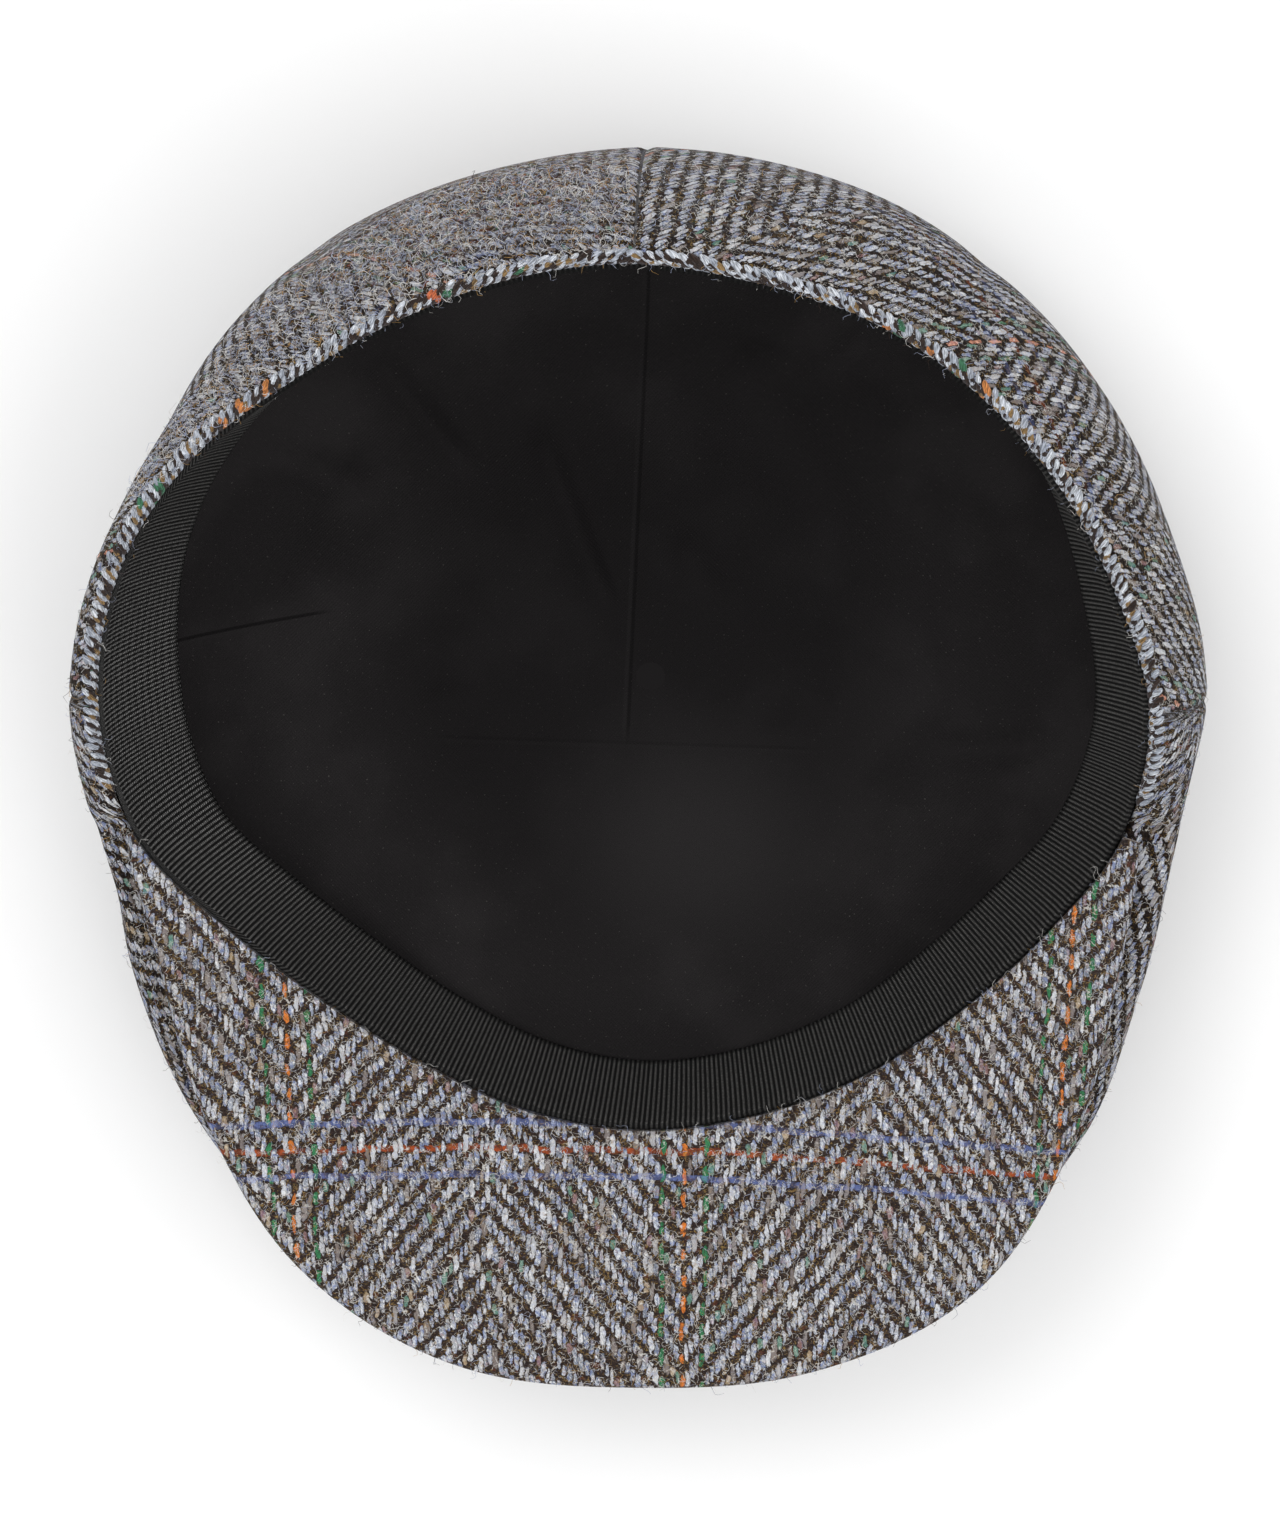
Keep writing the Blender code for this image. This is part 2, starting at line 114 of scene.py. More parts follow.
class Crease(NamedTuple):
    """A fold in the lining: its two ends from the crown's middle, its half width and its height."""

    start_x: float
    start_y: float
    end_x: float
    end_y: float
    half_width: float
    height: float

    @property
    def length(self) -> float:
        """Return the fold's length."""
        return math.hypot(self.end_x - self.start_x, self.end_y - self.start_y)

    def seen_from(self, x: Any, y: Any) -> tuple[Any, Any]:
        """Return how far places lie along the fold and beside it.

        Args:
            x: Arrays or signals of the places.
            y: The same.

        Returns:
            The two lengths, as arrays or signals too.
        """
        dx, dy = (self.end_x - self.start_x) / self.length, (self.end_y - self.start_y) / self.length
        east, north = x - self.start_x, y - self.start_y
        return east * dx + north * dy, east * dy - north * dx


class Panel(NamedTuple):
    """A panel of one cloth: its map, the yarns at the map's origin and the slope of its twill."""

    map: str
    first_end: float
    first_pick: float
    slope: float


class Lamp(NamedTuple):
    """A square lamp that shines on the origin: its place in metres, its side and its watts."""

    name: str
    place: Triple
    size: float
    power: float


PLAN = tuple(starmap(Plan, (
    (90, 0.852, 0.852, 1.046, 1.046), (75, 0.849, 0.853, 1.050, 1.047),
    (60, 0.866, 0.862, 1.056, 1.056), (45, 0.882, 0.893, 1.051, 1.056),
    (30, 0.902, 0.957, 1.049, 1.042), (15, 0.928, 1.010, 1.060, 1.035), (0, 0.968, 1.030, 1.078, 1.040),
    (-15, 0.958, 1.012, 1.066, 1.064), (-30, 0.900, 0.921, 1.120, 1.140),
    (-45, 0.866, 0.863, 1.220, 1.228), (-60, 0.858, 0.845, 1.270, 1.270),
    (-75, 0.857, 0.854, 1.180, 1.180), (-90, 0.861, 0.861, 1.160, 1.160),
)))

DRAPE = tuple(starmap(Drape, (
    (90, 0.37, -52, -52, 0.17, 0.76), (75, 0.37, -52, -52, 0.17, 0.77),
    (60, 0.36, -52, -52, 0.16, 0.78), (45, 0.35, -52, -52, 0.14, 0.79),
    (30, 0.33, -50, -58, 0.12, 0.80), (15, 0.32, -48, -56, 0.10, 0.81), (0, 0.31, -45, -43, 0.09, 0.82),
    (-15, 0.30, -30, -30, 0.10, 0.83), (-30, 0.29, 19, 19, 0.14, 0.85),
    (-45, 0.26, 15.5, 15.5, 0.24, 0.87), (-60, 0.20, 11, 11, 0.28, 0.87),
    (-75, 0.145, 8, 8, 0.25, 0.84), (-90, 0.125, 7, 7, 0.23, 0.82),
)))

EDGE = tuple(starmap(Sides, (
    (0, 0.940, 0.960), (-15, 0.988, 1.020), (-30, 1.057, 1.062), (-45, 1.184, 1.171),
    (-60, 1.312, 1.294), (-75, 1.355, 1.357), (-90, 1.354, 1.354),
)))

LEAN = tuple(starmap(Sides, (
    (90, -0.24, -0.24), (60, -0.24, -0.22), (30, 0.04, 0.12), (0, 0.34, 0.48), (-30, 0.40, 0.46),
    (-60, 0.36, 0.38), (-90, 0.33, 0.33),
)))

INSIDE = tuple(starmap(Inside, (
    (90, 0.980, 0.980, 0.36, 0.68), (60, 0.985, 0.985, 0.36, 0.70), (30, 0.980, 0.970, 0.34, 0.72),
    (0, 1.005, 1.010, 0.30, 0.73), (-30, 0.930, 0.945, 0.16, 0.74), (-60, 0.868, 0.860, 0.09, 0.70),
    (-90, 0.872, 0.872, 0.08, 0.70),
)))


def smooth(share: Array) -> Array:
    """Return shares held between 0 and 1, with a soft start and end."""
    share = np.clip(share, 0.0, 1.0)
    return share * share * (3 - 2 * share)


class Course:
    """A value that runs smoothly round the cap through the rows of a table."""

    def __init__(self, rows: Sequence[Any], right: str, left: str = "") -> None:
        """Take the value's right and left columns.

        Args:
            rows: The table, from the back to the front.
            right: The column for the right side.
            left: The column for the left side, if it is another one.
        """
        knots = {row.azimuth: getattr(row, right) for row in rows}
        knots |= {180 - row.azimuth: getattr(row, left or right) for row in rows if row.azimuth > -90}
        azimuths = np.array(sorted(knots), dtype=float)
        values = np.array([knots[azimuth] for azimuth in sorted(knots)])
        self.knots = azimuths
        self.azimuths = np.concatenate([azimuths[-1:] - 360, azimuths, azimuths[:2] + 360])
        self.values = np.concatenate([values[-1:], values, values[:2]])

    def __call__(self, azimuth: Array) -> Array:
        """Return the value at azimuths.

        Args:
            azimuth: Azimuths in degrees.

        Returns:
            The values.
        """
        turned = (np.asarray(azimuth, dtype=float) - self.knots[0]) % 360 + self.knots[0]
        i = np.searchsorted(self.knots, turned + 1e-9, side="right")
        a0, a1, a2, a3 = (self.azimuths[i + step] for step in (-1, 0, 1, 2))
        v0, v1, v2, v3 = (self.values[i + step] for step in (-1, 0, 1, 2))
        t = (turned - a1) / (a2 - a1)
        start = (v2 - v0) / (a2 - a0) * (a2 - a1)
        end = (v3 - v1) / (a3 - a1) * (a2 - a1)
        share = smooth(t)
        return v1 * (1 - share) + v2 * share + start * t * (1 - t) ** 2 - end * t * t * (1 - t)


def bezier(points: Sequence[Array], steps: int, last: bool) -> Array:
    """Return places on cubic curves, one curve for each azimuth.

    Args:
        points: Four arrays of (azimuth, 2): two ends and two handles between them.
        steps: How many stretches each curve has.
        last: Whether the end itself is among the places.

    Returns:
        An array of (azimuth, place, 2).
    """
    t = (np.arange(steps + (1 if last else 0)) / steps)[None, :, None]
    p0, p1, p2, p3 = (point[:, None, :] for point in points)
    return (1 - t) ** 3 * p0 + 3 * t * (1 - t) ** 2 * p1 + 3 * t * t * (1 - t) * p2 + t ** 3 * p3


def pair(a: Array, b: Array) -> Array:
    """Return two arrays of the same shape side by side on a new last axis."""
    return np.stack(np.broadcast_arrays(a, b), axis=-1)


@dataclass(frozen=True)
class Form:
    """The cap's sizes and the lines that its pieces follow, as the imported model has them."""

    half_width: float = 97 * MM
    rim_tilt: float = math.radians(17)
    tweed: float = 2 * MM
    hem: float = 3.2 * MM
    hem_run: float = 9 * MM
    lining: float = 1 * MM
    ribbon: float = 1 * MM
    ribbon_width: float = 25 * MM
    cover: float = 1.5 * MM
    board_full: float = 3 * MM
    board_tip: float = 1.2 * MM
    gap: float = 0.3 * MM
    peak_rise: float = math.radians(8)
    arch_radius: float = 192 * MM
    tip_azimuth: float = -15.5
    tip_run: float = 3.0
    tip_clearance: float = 0.8
    board_taper: float = 14.0
    blend_start: float = 4 * MM
    blend_end: float = 26 * MM
    wall_handle: float = 0.55
    nose_handle: float = 1.1
    swell_handle: float = 0.62
    floor_handle: float = 0.42
    lining_drop: float = 5 * MM
    lining_set: float = 1.2 * MM
    lining_room: float = 1.5 * MM
    lining_lift: float = 0.4 * MM
    ribbon_drop: float = 1.2 * MM
    ribbon_clearance: float = 1.6 * MM
    ribbon_bend: float = 1.3
    rim_share: Course = Course(PLAN, "rim_right", "rim_left")
    swell_share: Course = Course(PLAN, "swell_right", "swell_left")
    swell_height: Course = Course(DRAPE, "swell_height")
    leave_angle: Course = Course(DRAPE, "leave_right", "leave_left")
    leave_reach: Course = Course(DRAPE, "leave_reach")
    flat_reach: Course = Course(DRAPE, "flat_reach")
    edge_share: Course = Course(EDGE, "right", "left")
    lean: Course = Course(LEAN, "right", "left")
    inside_share: Course = Course(INSIDE, "swell_right", "swell_left")
    inside_height: Course = Course(INSIDE, "swell_height")
    inside_flat: Course = Course(INSIDE, "flat_reach")

    def sideways(self, rim: str, swell: str) -> float:
        """Return how far the crown reaches to one side.

        Args:
            rim: The opening's column for that side.
            swell: The widest line's column for that side.

        Returns:
            The larger of the hem's and the widest line's reach.
        """
        reaches = []
        for row in PLAN:
            widest = getattr(row, swell) * self.half_width
            radius = max(getattr(row, rim) * self.half_width + self.hem, widest)
            reaches.append(radius * math.cos(math.radians(row.azimuth)))
        return max(reaches)

    @property
    def middle(self) -> tuple[float, float]:
        """Return the place of the crown's middle on the floor."""
        across = self.sideways("rim_left", "swell_left") - self.sideways("rim_right", "swell_right")
        return across / 2, (EDGE[-1].right - PLAN[0].swell_right) * self.half_width / 2

    @property
    def front(self) -> float:
        """Return the rim's place in front of the crown's middle."""
        return -PLAN[-1].rim_right * self.half_width

    @property
    def front_height(self) -> float:
        """Return the rim's height in front."""
        drop = self.ribbon_width * math.sqrt(1 - LEAN[-1].right ** 2)
        return self.tweed + self.lining_lift + self.lining + self.ribbon_clearance + drop + self.ribbon_drop

    @property
    def side_height(self) -> float:
        """Return the rim's height beside the crown's middle."""
        return self.front_height - self.front * math.tan(self.rim_tilt)

    def rim(self, azimuth: Array) -> Array:
        """Return the opening's radius."""
        return self.rim_share(azimuth) * self.half_width

    def edge(self, azimuth: Array) -> Array:
        """Return the radius of the peak's outer edge."""
        return self.edge_share(azimuth) * self.half_width

    def peak_height(self, azimuth: Array, radius: Array) -> Array:
        """Return the height of the peak's visible underside.

        Args:
            azimuth: Azimuths in degrees.
            radius: Distances from the crown's middle.

        Returns:
            The heights, of the shape that the two have together.
        """
        turn = np.radians(azimuth)
        x, y = radius * np.cos(turn), radius * np.sin(turn)
        rise = math.tan(self.peak_rise) * (self.front - y)
        return self.front_height + rise + x * x / (2 * self.arch_radius)

    def rim_height(self, azimuth: Array) -> Array:
        """Return the height of the opening's line: a tilted plane that turns into the peak's arch.

        Args:
            azimuth: Azimuths in degrees.

        Returns:
            The heights.
        """
        radius = self.rim(azimuth)
        y = radius * np.sin(np.radians(azimuth))
        blend = smooth((-y - self.blend_start) / (self.blend_end - self.blend_start))
        plane = self.side_height + y * math.tan(self.rim_tilt)
        return plane * (1 - blend) + self.peak_height(azimuth, radius) * blend

    def before_tip(self, azimuth: Array) -> Array:
        """Return the degrees from the peak's nearer tip, counted towards the front."""
        from_front = np.abs((np.asarray(azimuth) + 270) % 360 - 180)
        return self.tip_azimuth + 90 - from_front

    def hidden(self, azimuth: Array) -> Array:
        """Return 1 where the crown's edge lies under the peak and 0 behind its tips."""
        return smooth((self.before_tip(azimuth) + self.tip_run + self.tip_clearance) / self.tip_run)

    def board(self, azimuth: Array) -> Array:
        """Return the thickness of the peak's stiff half."""
        more = self.board_full - self.board_tip
        return self.board_tip + more * smooth(self.before_tip(azimuth) / self.board_taper)

    def crown_line(self, azimuth: Array, wall: int, shoulder: int, floor: int) -> Array:
        """Return the middle line of the crown's cloth, from the hem to near the middle.

        Args:
            azimuth: Azimuths in degrees.
            wall: Stretches between the hem and the widest place.
            shoulder: Stretches between the widest place and the floor.
            floor: Stretches on the floor.

        Returns:
            Radii and heights, as (azimuth, place, 2).
        """
        hidden = self.hidden(azimuth)
        rim = self.rim(azimuth)
        half = self.hem / 2 * (1 - hidden) + self.tweed / 2 * hidden
        peak = self.peak_height(azimuth, rim) - self.cover - self.board(azimuth) - 2 * self.gap
        top = self.rim_height(azimuth) * (1 - hidden) + peak * hidden - half
        angle = np.radians(self.leave_angle(azimuth))
        reach = self.leave_reach(azimuth) * self.half_width
        swell = self.swell_share(azimuth) * self.half_width - self.tweed / 2
        height = self.swell_height(azimuth) * self.half_width
        flat = self.flat_reach(azimuth) * self.half_width
        handle = self.wall_handle * (1 - hidden) + self.nose_handle * hidden
        start = pair(rim + half, top)
        leaving = pair(rim + half + reach * np.cos(angle), top + reach * np.sin(angle))
        upper = (start, leaving, pair(swell, height + (top - height) * handle), pair(swell, height))
        return self.led_in(upper, flat, self.tweed / 2, (wall, shoulder, floor))

    def led_in(self, upper: Sequence[Array], flat: Array, low: float, stretches: Sequence[int]) -> Array:
        """Lead a wall's line on from its widest place to near the middle of the floor.

        Args:
            upper: The wall's curve, down to its widest place.
            flat: Radii of the floor's flat part.
            low: The floor's height.
            stretches: How many there are on the wall, below it and on the floor.

        Returns:
            Radii and heights, as (azimuth, place, 2).
        """
        wall, shoulder, floor = stretches
        swell, height = upper[-1][:, 0], upper[-1][:, 1]
        lower = (upper[-1], pair(swell, height - (height - low) * self.swell_handle),
                 pair(flat + (swell - flat) * self.floor_handle, low), pair(flat, low))
        inwards = 1 - np.arange(1, floor + 1)[None, :] / (floor + 1)
        bottom = pair(flat[:, None] * inwards, low)
        return np.concatenate([bezier(upper, wall, False), bezier(lower, shoulder, True), bottom], axis=1)

    def lining_line(self, azimuth: Array, steps: int) -> Array:
        """Return the middle line of the lining, from its edge behind the ribbon inwards.

        Args:
            azimuth: Azimuths in degrees.
            steps: Stretches on each of its three parts.

        Returns:
            Radii and heights, as (azimuth, place, 2).
        """
        hidden = self.hidden(azimuth)
        rim = self.rim(azimuth)
        under = self.cover + self.board(azimuth) + 2 * self.gap + self.tweed
        under = under + self.lining_room + self.lining / 2
        top = self.rim_height(azimuth) - self.lining_drop * (1 - hidden) - under * hidden
        out = rim + self.lining_set
        swell = self.inside_share(azimuth) * self.half_width
        height = self.inside_height(azimuth) * self.half_width
        flat = self.inside_flat(azimuth) * self.half_width
        low = self.tweed + self.lining_lift + self.lining / 2
        upper = (pair(out, top), pair(out + (swell - out) * 0.5, top + (height - top) * 0.3),
                 pair(swell, height + (top - height) * 0.45), pair(swell, height))
        return self.led_in(upper, flat, low, (steps, steps, steps - 1))

    def placed(self, azimuth: Array, section: Array) -> Array:
        """Return the places of sections in the world.

        Args:
            azimuth: Azimuths in degrees.
            section: Radii and heights, as (azimuth, place, 2).

        Returns:
            Places, as (azimuth, place, 3).
        """
        turn = np.radians(azimuth)[:, None]
        middle = self.middle
        x = middle[0] + section[..., 0] * np.cos(turn)
        y = middle[1] + section[..., 0] * np.sin(turn)
        return np.stack([x, y, section[..., 1]], axis=-1)


def outward(line: Array) -> Array:
    """Return the directions out of the crown.

    Args:
        line: Lines that run from the hem to the middle, as (azimuth, place, 2).

    Returns:
        Unit vectors of the same shape.
    """
    before = np.concatenate([line[:, :1], line[:, :-1]], axis=1)
    after = np.concatenate([line[:, 1:], line[:, -1:]], axis=1)
    step = after - before
    length = np.linalg.norm(step, axis=-1)
    way = pair(-step[..., 1] / length, step[..., 0] / length)
    way[:, -1] = (0.0, -1.0)
    return way


def run_along(points: Array) -> Array:
    """Return the lengths run along each row of points, starting at 0."""
    steps = np.linalg.norm(np.diff(points, axis=1), axis=-1)
    return np.concatenate([np.zeros((len(points), 1)), np.cumsum(steps, axis=1)], axis=1)


def wrapped(values: Array) -> Array:
    """Return rows with the first one again at the end."""
    return np.concatenate([values, values[:1]], axis=0)


def keep(mesh: Mesh, name: str, values: Array) -> None:
    """Keep a named number or vector for each point of a mesh.

    Args:
        mesh: The mesh.
        name: The value's name.
        values: Numbers, as (point,), or vectors, as (point, 3).
    """
    kind, label = ("FLOAT", "value") if values.ndim == 1 else ("FLOAT_VECTOR", "vector")
    layer = mesh.attributes.new(name, kind, "POINT")
    layer.data.foreach_set(label, values.astype(np.float32).ravel())


class Weft:
    """A mesh made of rows of points, with maps and values that its materials read.

    A map is (row, column, 2), with one row more for a ring. A value is (row, column).
    """

    def __init__(self, name: str, rows: Array, ring: bool, tube: bool) -> None:
        """Lay faces between neighbouring rows.

        Args:
            name: The mesh's name.
            rows: Places, as (row, column, 3).
            ring: Whether the last row meets the first.
            tube: Whether the last column meets the first.
        """
        self.rows, self.columns = rows.shape[:2]
        self.name = name
        self.points = [rows.reshape(-1, 3)]
        row = np.arange(self.rows if ring else self.rows - 1)
        column = np.arange(self.columns if tube else self.columns - 1)
        s, i = (grid.ravel() for grid in np.meshgrid(row, column, indexing="ij"))
        j = (i + 1) % self.columns
        t = (s + 1) % self.rows
        near, far = s * self.columns, t * self.columns
        self.quads = np.stack([near + i, near + j, far + j, far + i], axis=-1)
        self.corner_rows = np.stack([s, s, s + 1, s + 1], axis=-1)
        self.corner_columns = np.stack([i, j, j, i], axis=-1)
        self.others: list[tuple[int, ...]] = []
        self.maps: dict[str, Array] = {}
        self.values: dict[str, Array] = {}

    def close(self, column: int, place: Sequence[float]) -> None:
        """Close a ring at a pole.

        Args:
            column: The column that runs round the pole.
            place: The pole.
        """
        pole = sum(len(part) for part in self.points)
        self.points.append(np.array([place], dtype=float))
        for s in range(self.rows):
            t = (s + 1) % self.rows
            self.others.append((s * self.columns + column, t * self.columns + column, pole))

    def cap(self) -> None:
        """Close both ends of a tube that isn't a ring."""
        last = (self.rows - 1) * self.columns
        self.others.append(tuple(range(self.columns)))
        self.others.append(tuple(last + i for i in range(self.columns)))

    def mesh(self) -> Mesh:
        """Finish the mesh and turn its faces outwards.

        Returns:
            The mesh.
        """
        points = np.concatenate(self.points)
        mesh = bpy.data.meshes.new(self.name)
        mesh.from_pydata(points.tolist(), [], self.quads.tolist() + self.others)
        for name, places in self.maps.items():
            layer = mesh.uv_layers.new(name=name)
            corners = places[self.corner_rows, self.corner_columns % places.shape[1]].reshape(-1, 2)
            rest = len(mesh.loops) - len(corners)
            filled = np.concatenate([corners, np.repeat(corners[-1:], rest, axis=0)])
            layer.data.foreach_set("uv", filled.ravel().astype(np.float32))
        for name, values in self.values.items():
            extra = len(points) - values.size
            keep(mesh, name, np.concatenate([values.ravel(), np.full(extra, values.ravel()[-1])]))
        work = bmesh.new()
        work.from_mesh(mesh)
        bmesh.ops.recalc_face_normals(work, faces=work.faces)
        work.to_mesh(mesh)
        work.free()
        mesh.shade_smooth()
        return mesh


def linked(name: str, data: Any) -> Piece:
    """Add an object to the scene.

    Args:
        name: Its name.
        data: Its mesh, camera or light.

    Returns:
        The object.
    """
    piece = bpy.data.objects.new(name, data)
    bpy.context.scene.collection.objects.link(piece)
    return piece


def shown(name: str, mesh: Mesh, material: Material | None = None) -> Piece:
    """Return an object of a mesh, linked to the scene.

    Args:
        name: The piece's name.
        mesh: Its mesh.
        material: Its finish, if the mesh has none yet.

    Returns:
        The object.
    """
    if material is not None:
        mesh.materials.clear()
        mesh.materials.append(material)
    return linked(name, mesh)


def solid(colour: Any) -> Any:
    """Return a plain colour with full cover, and a signal as it is."""
    return (*colour, 1.0) if isinstance(colour, tuple) else colour


class Signal:
    """A socket of a node tree, with which sums can be written."""

    def __init__(self, wires: "Wires", socket: bpy.types.NodeSocket) -> None:
        """Take the socket and its tree's wires."""
        self.wires = wires
        self.socket = socket

    def __add__(self, other: Any) -> "Signal":
        """Return the sum of two numbers."""
        return self.wires.math("ADD", self, other)

    def __sub__(self, other: Any) -> "Signal":
        """Return this number less another."""
        return self.wires.math("SUBTRACT", self, other)

    def __rsub__(self, other: Any) -> "Signal":
        """Return another number less this one."""
        return self.wires.math("SUBTRACT", other, self)

    def __mul__(self, other: Any) -> "Signal":
        """Return the product of two numbers."""
        return self.wires.math("MULTIPLY", self, other)

    def __truediv__(self, other: Any) -> "Signal":
        """Return this number divided by another."""
        return self.wires.math("DIVIDE", self, other)

    def __pow__(self, other: Any) -> "Signal":
        """Return this number to a power."""
        return self.wires.math("POWER", self, other)

    def __abs__(self) -> "Signal":
        """Return this number without its sign."""
        return self.wires.math("ABSOLUTE", self)

    def floor(self) -> "Signal":
        """Return the whole number below this one."""
        return self.wires.math("FLOOR", self)

    def near(self, other: float, reach: float) -> "Signal":
        """Return 1 where this number is within reach of another, and 0 elsewhere."""
        return self.wires.math("COMPARE", self, other, reach)

    def centred(self) -> "Signal":
        """Return how far this number is from the middle of its whole step, from -1 to 1."""
        return self.wires.math("FRACT", self) * 2.0 - 1.0

    def band(self, start: float, end: float, low: float = 0.0, high: float = 1.0) -> "Signal":
        """Return a number that goes softly from low to high as this one goes from start to end."""
        feeds = {0: self, 1: start, 2: end, 3: low, 4: high}
        return self.wires.out("ShaderNodeMapRange", feeds, interpolation_type="SMOOTHSTEP")

    def noise(self, scale: float, detail: float = 2.0, shift: Triple | None = None,
              output: int = 0) -> "Signal":
        """Return a noise from 0 to 1 at this place.

        Args:
            scale: How fine it is.
            detail: How many finer layers it has.
            shift: How far the place is moved first, so that noises differ.
            output: 0 for a number and 1 for a colour.

        Returns:
            The noise.
        """
        place = self if shift is None else self.wires.vector("ADD", self, shift)
        feeds = {"Vector": place, "Scale": scale, "Detail": detail}
        return self.wires.out("ShaderNodeTexNoise", feeds, output, noise_dimensions="3D")


class Wires:
    """A node tree that is being wired up."""

    def __init__(self, tree: Tree) -> None:
        """Take the tree."""
        self.tree = tree

    def feed(self, value: Any, socket: bpy.types.NodeSocket) -> None:
        """Lead a signal to an input, or set the input to a plain value."""
        source = value.socket if isinstance(value, Signal) else value
        if isinstance(source, bpy.types.NodeSocket):
            self.tree.links.new(source, socket)
        else:
            socket.default_value = source

    def add(self, kind: str, feeds: Feeds = None, **settings: Any) -> bpy.types.Node:
        """Add a node.

        Args:
            kind: Its type.
            feeds: Signals or plain values for its inputs, by name or number.
            **settings: Its own settings.

        Returns:
            The node.
        """
        node = self.tree.nodes.new(kind)
        for name, value in settings.items():
            setattr(node, name, value)
        named = {socket.name: socket for socket in node.inputs if socket.enabled}
        for name, value in (feeds or {}).items():
            self.feed(value, named[name] if isinstance(name, str) else node.inputs[name])
        return node

    def out(self, kind: str, feeds: Feeds = None, output: Any = None, **settings: Any) -> Signal:
        """Add a node and give one of its outputs.

        Args:
            kind: Its type.
            feeds: Signals or plain values for its inputs, by name or number.
            output: The output's name or number; None stands for the first that is live.
            **settings: Its own settings.

        Returns:
            The output.
        """
        outputs = self.add(kind, feeds, **settings).outputs
        live = next(socket for socket in outputs if socket.enabled)
        return Signal(self, live if output is None else outputs[output])

    def math(self, operation: str, *values: Any) -> Signal:
        """Return the result of a sum on numbers."""
        return self.out("ShaderNodeMath", dict(enumerate(values)), operation=operation)

    def vector(self, operation: str, *values: Any) -> Signal:
        """Return the result of a sum on vectors."""
        return self.out("ShaderNodeVectorMath", dict(enumerate(values)), operation=operation)

    def scaled(self, vector: Any, factor: Any) -> Signal:
        """Return a vector times a number."""
        return self.out("ShaderNodeVectorMath", {0: vector, "Scale": factor}, operation="SCALE")

    def length(self, vector: Any) -> Signal:
        """Return a vector's length."""
        return self.out("ShaderNodeVectorMath", {0: vector}, "Value", operation="LENGTH")

    def split(self, vector: Any) -> tuple[Signal, ...]:
        """Return a vector's three numbers."""
        outputs = self.add("ShaderNodeSeparateXYZ", {0: vector}).outputs
        return tuple(Signal(self, socket) for socket in outputs)

    def joined(self, x: Any, y: Any, z: Any = 0.0) -> Signal:
        """Return a vector of three numbers."""
        return self.out("ShaderNodeCombineXYZ", {0: x, 1: y, 2: z})

    def mix(self, share: Any, a: Any, b: Any, blend: str = "MIX") -> Signal:
        """Return a mix of two colours."""
        feeds = {0: share, 6: solid(a), 7: solid(b)}
        return self.out("ShaderNodeMix", feeds, 2, data_type="RGBA", blend_type=blend)

    def layered(self, colour: Any, *layers: tuple[Any, Colour]) -> Signal:
        """Lay plain colours over a colour.

        Args:
            colour: The colour beneath.
            *layers: The mask and the colour of each layer, in turn.

        Returns:
            The colour.
        """
        for mask, shade in layers:
            colour = self.mix(mask, colour, shade)
        return colour

    def shaded(self, colour: Any, value: Any) -> Signal:
        """Return a colour times a number."""
        return self.mix(1.0, colour, self.joined(value, value, value), "MULTIPLY")

    def choose(self, share: Any, a: Any, b: Any) -> Signal:
        """Return a mix of two numbers."""
        return self.out("ShaderNodeMix", {0: share, 2: a, 3: b}, 0, data_type="FLOAT")


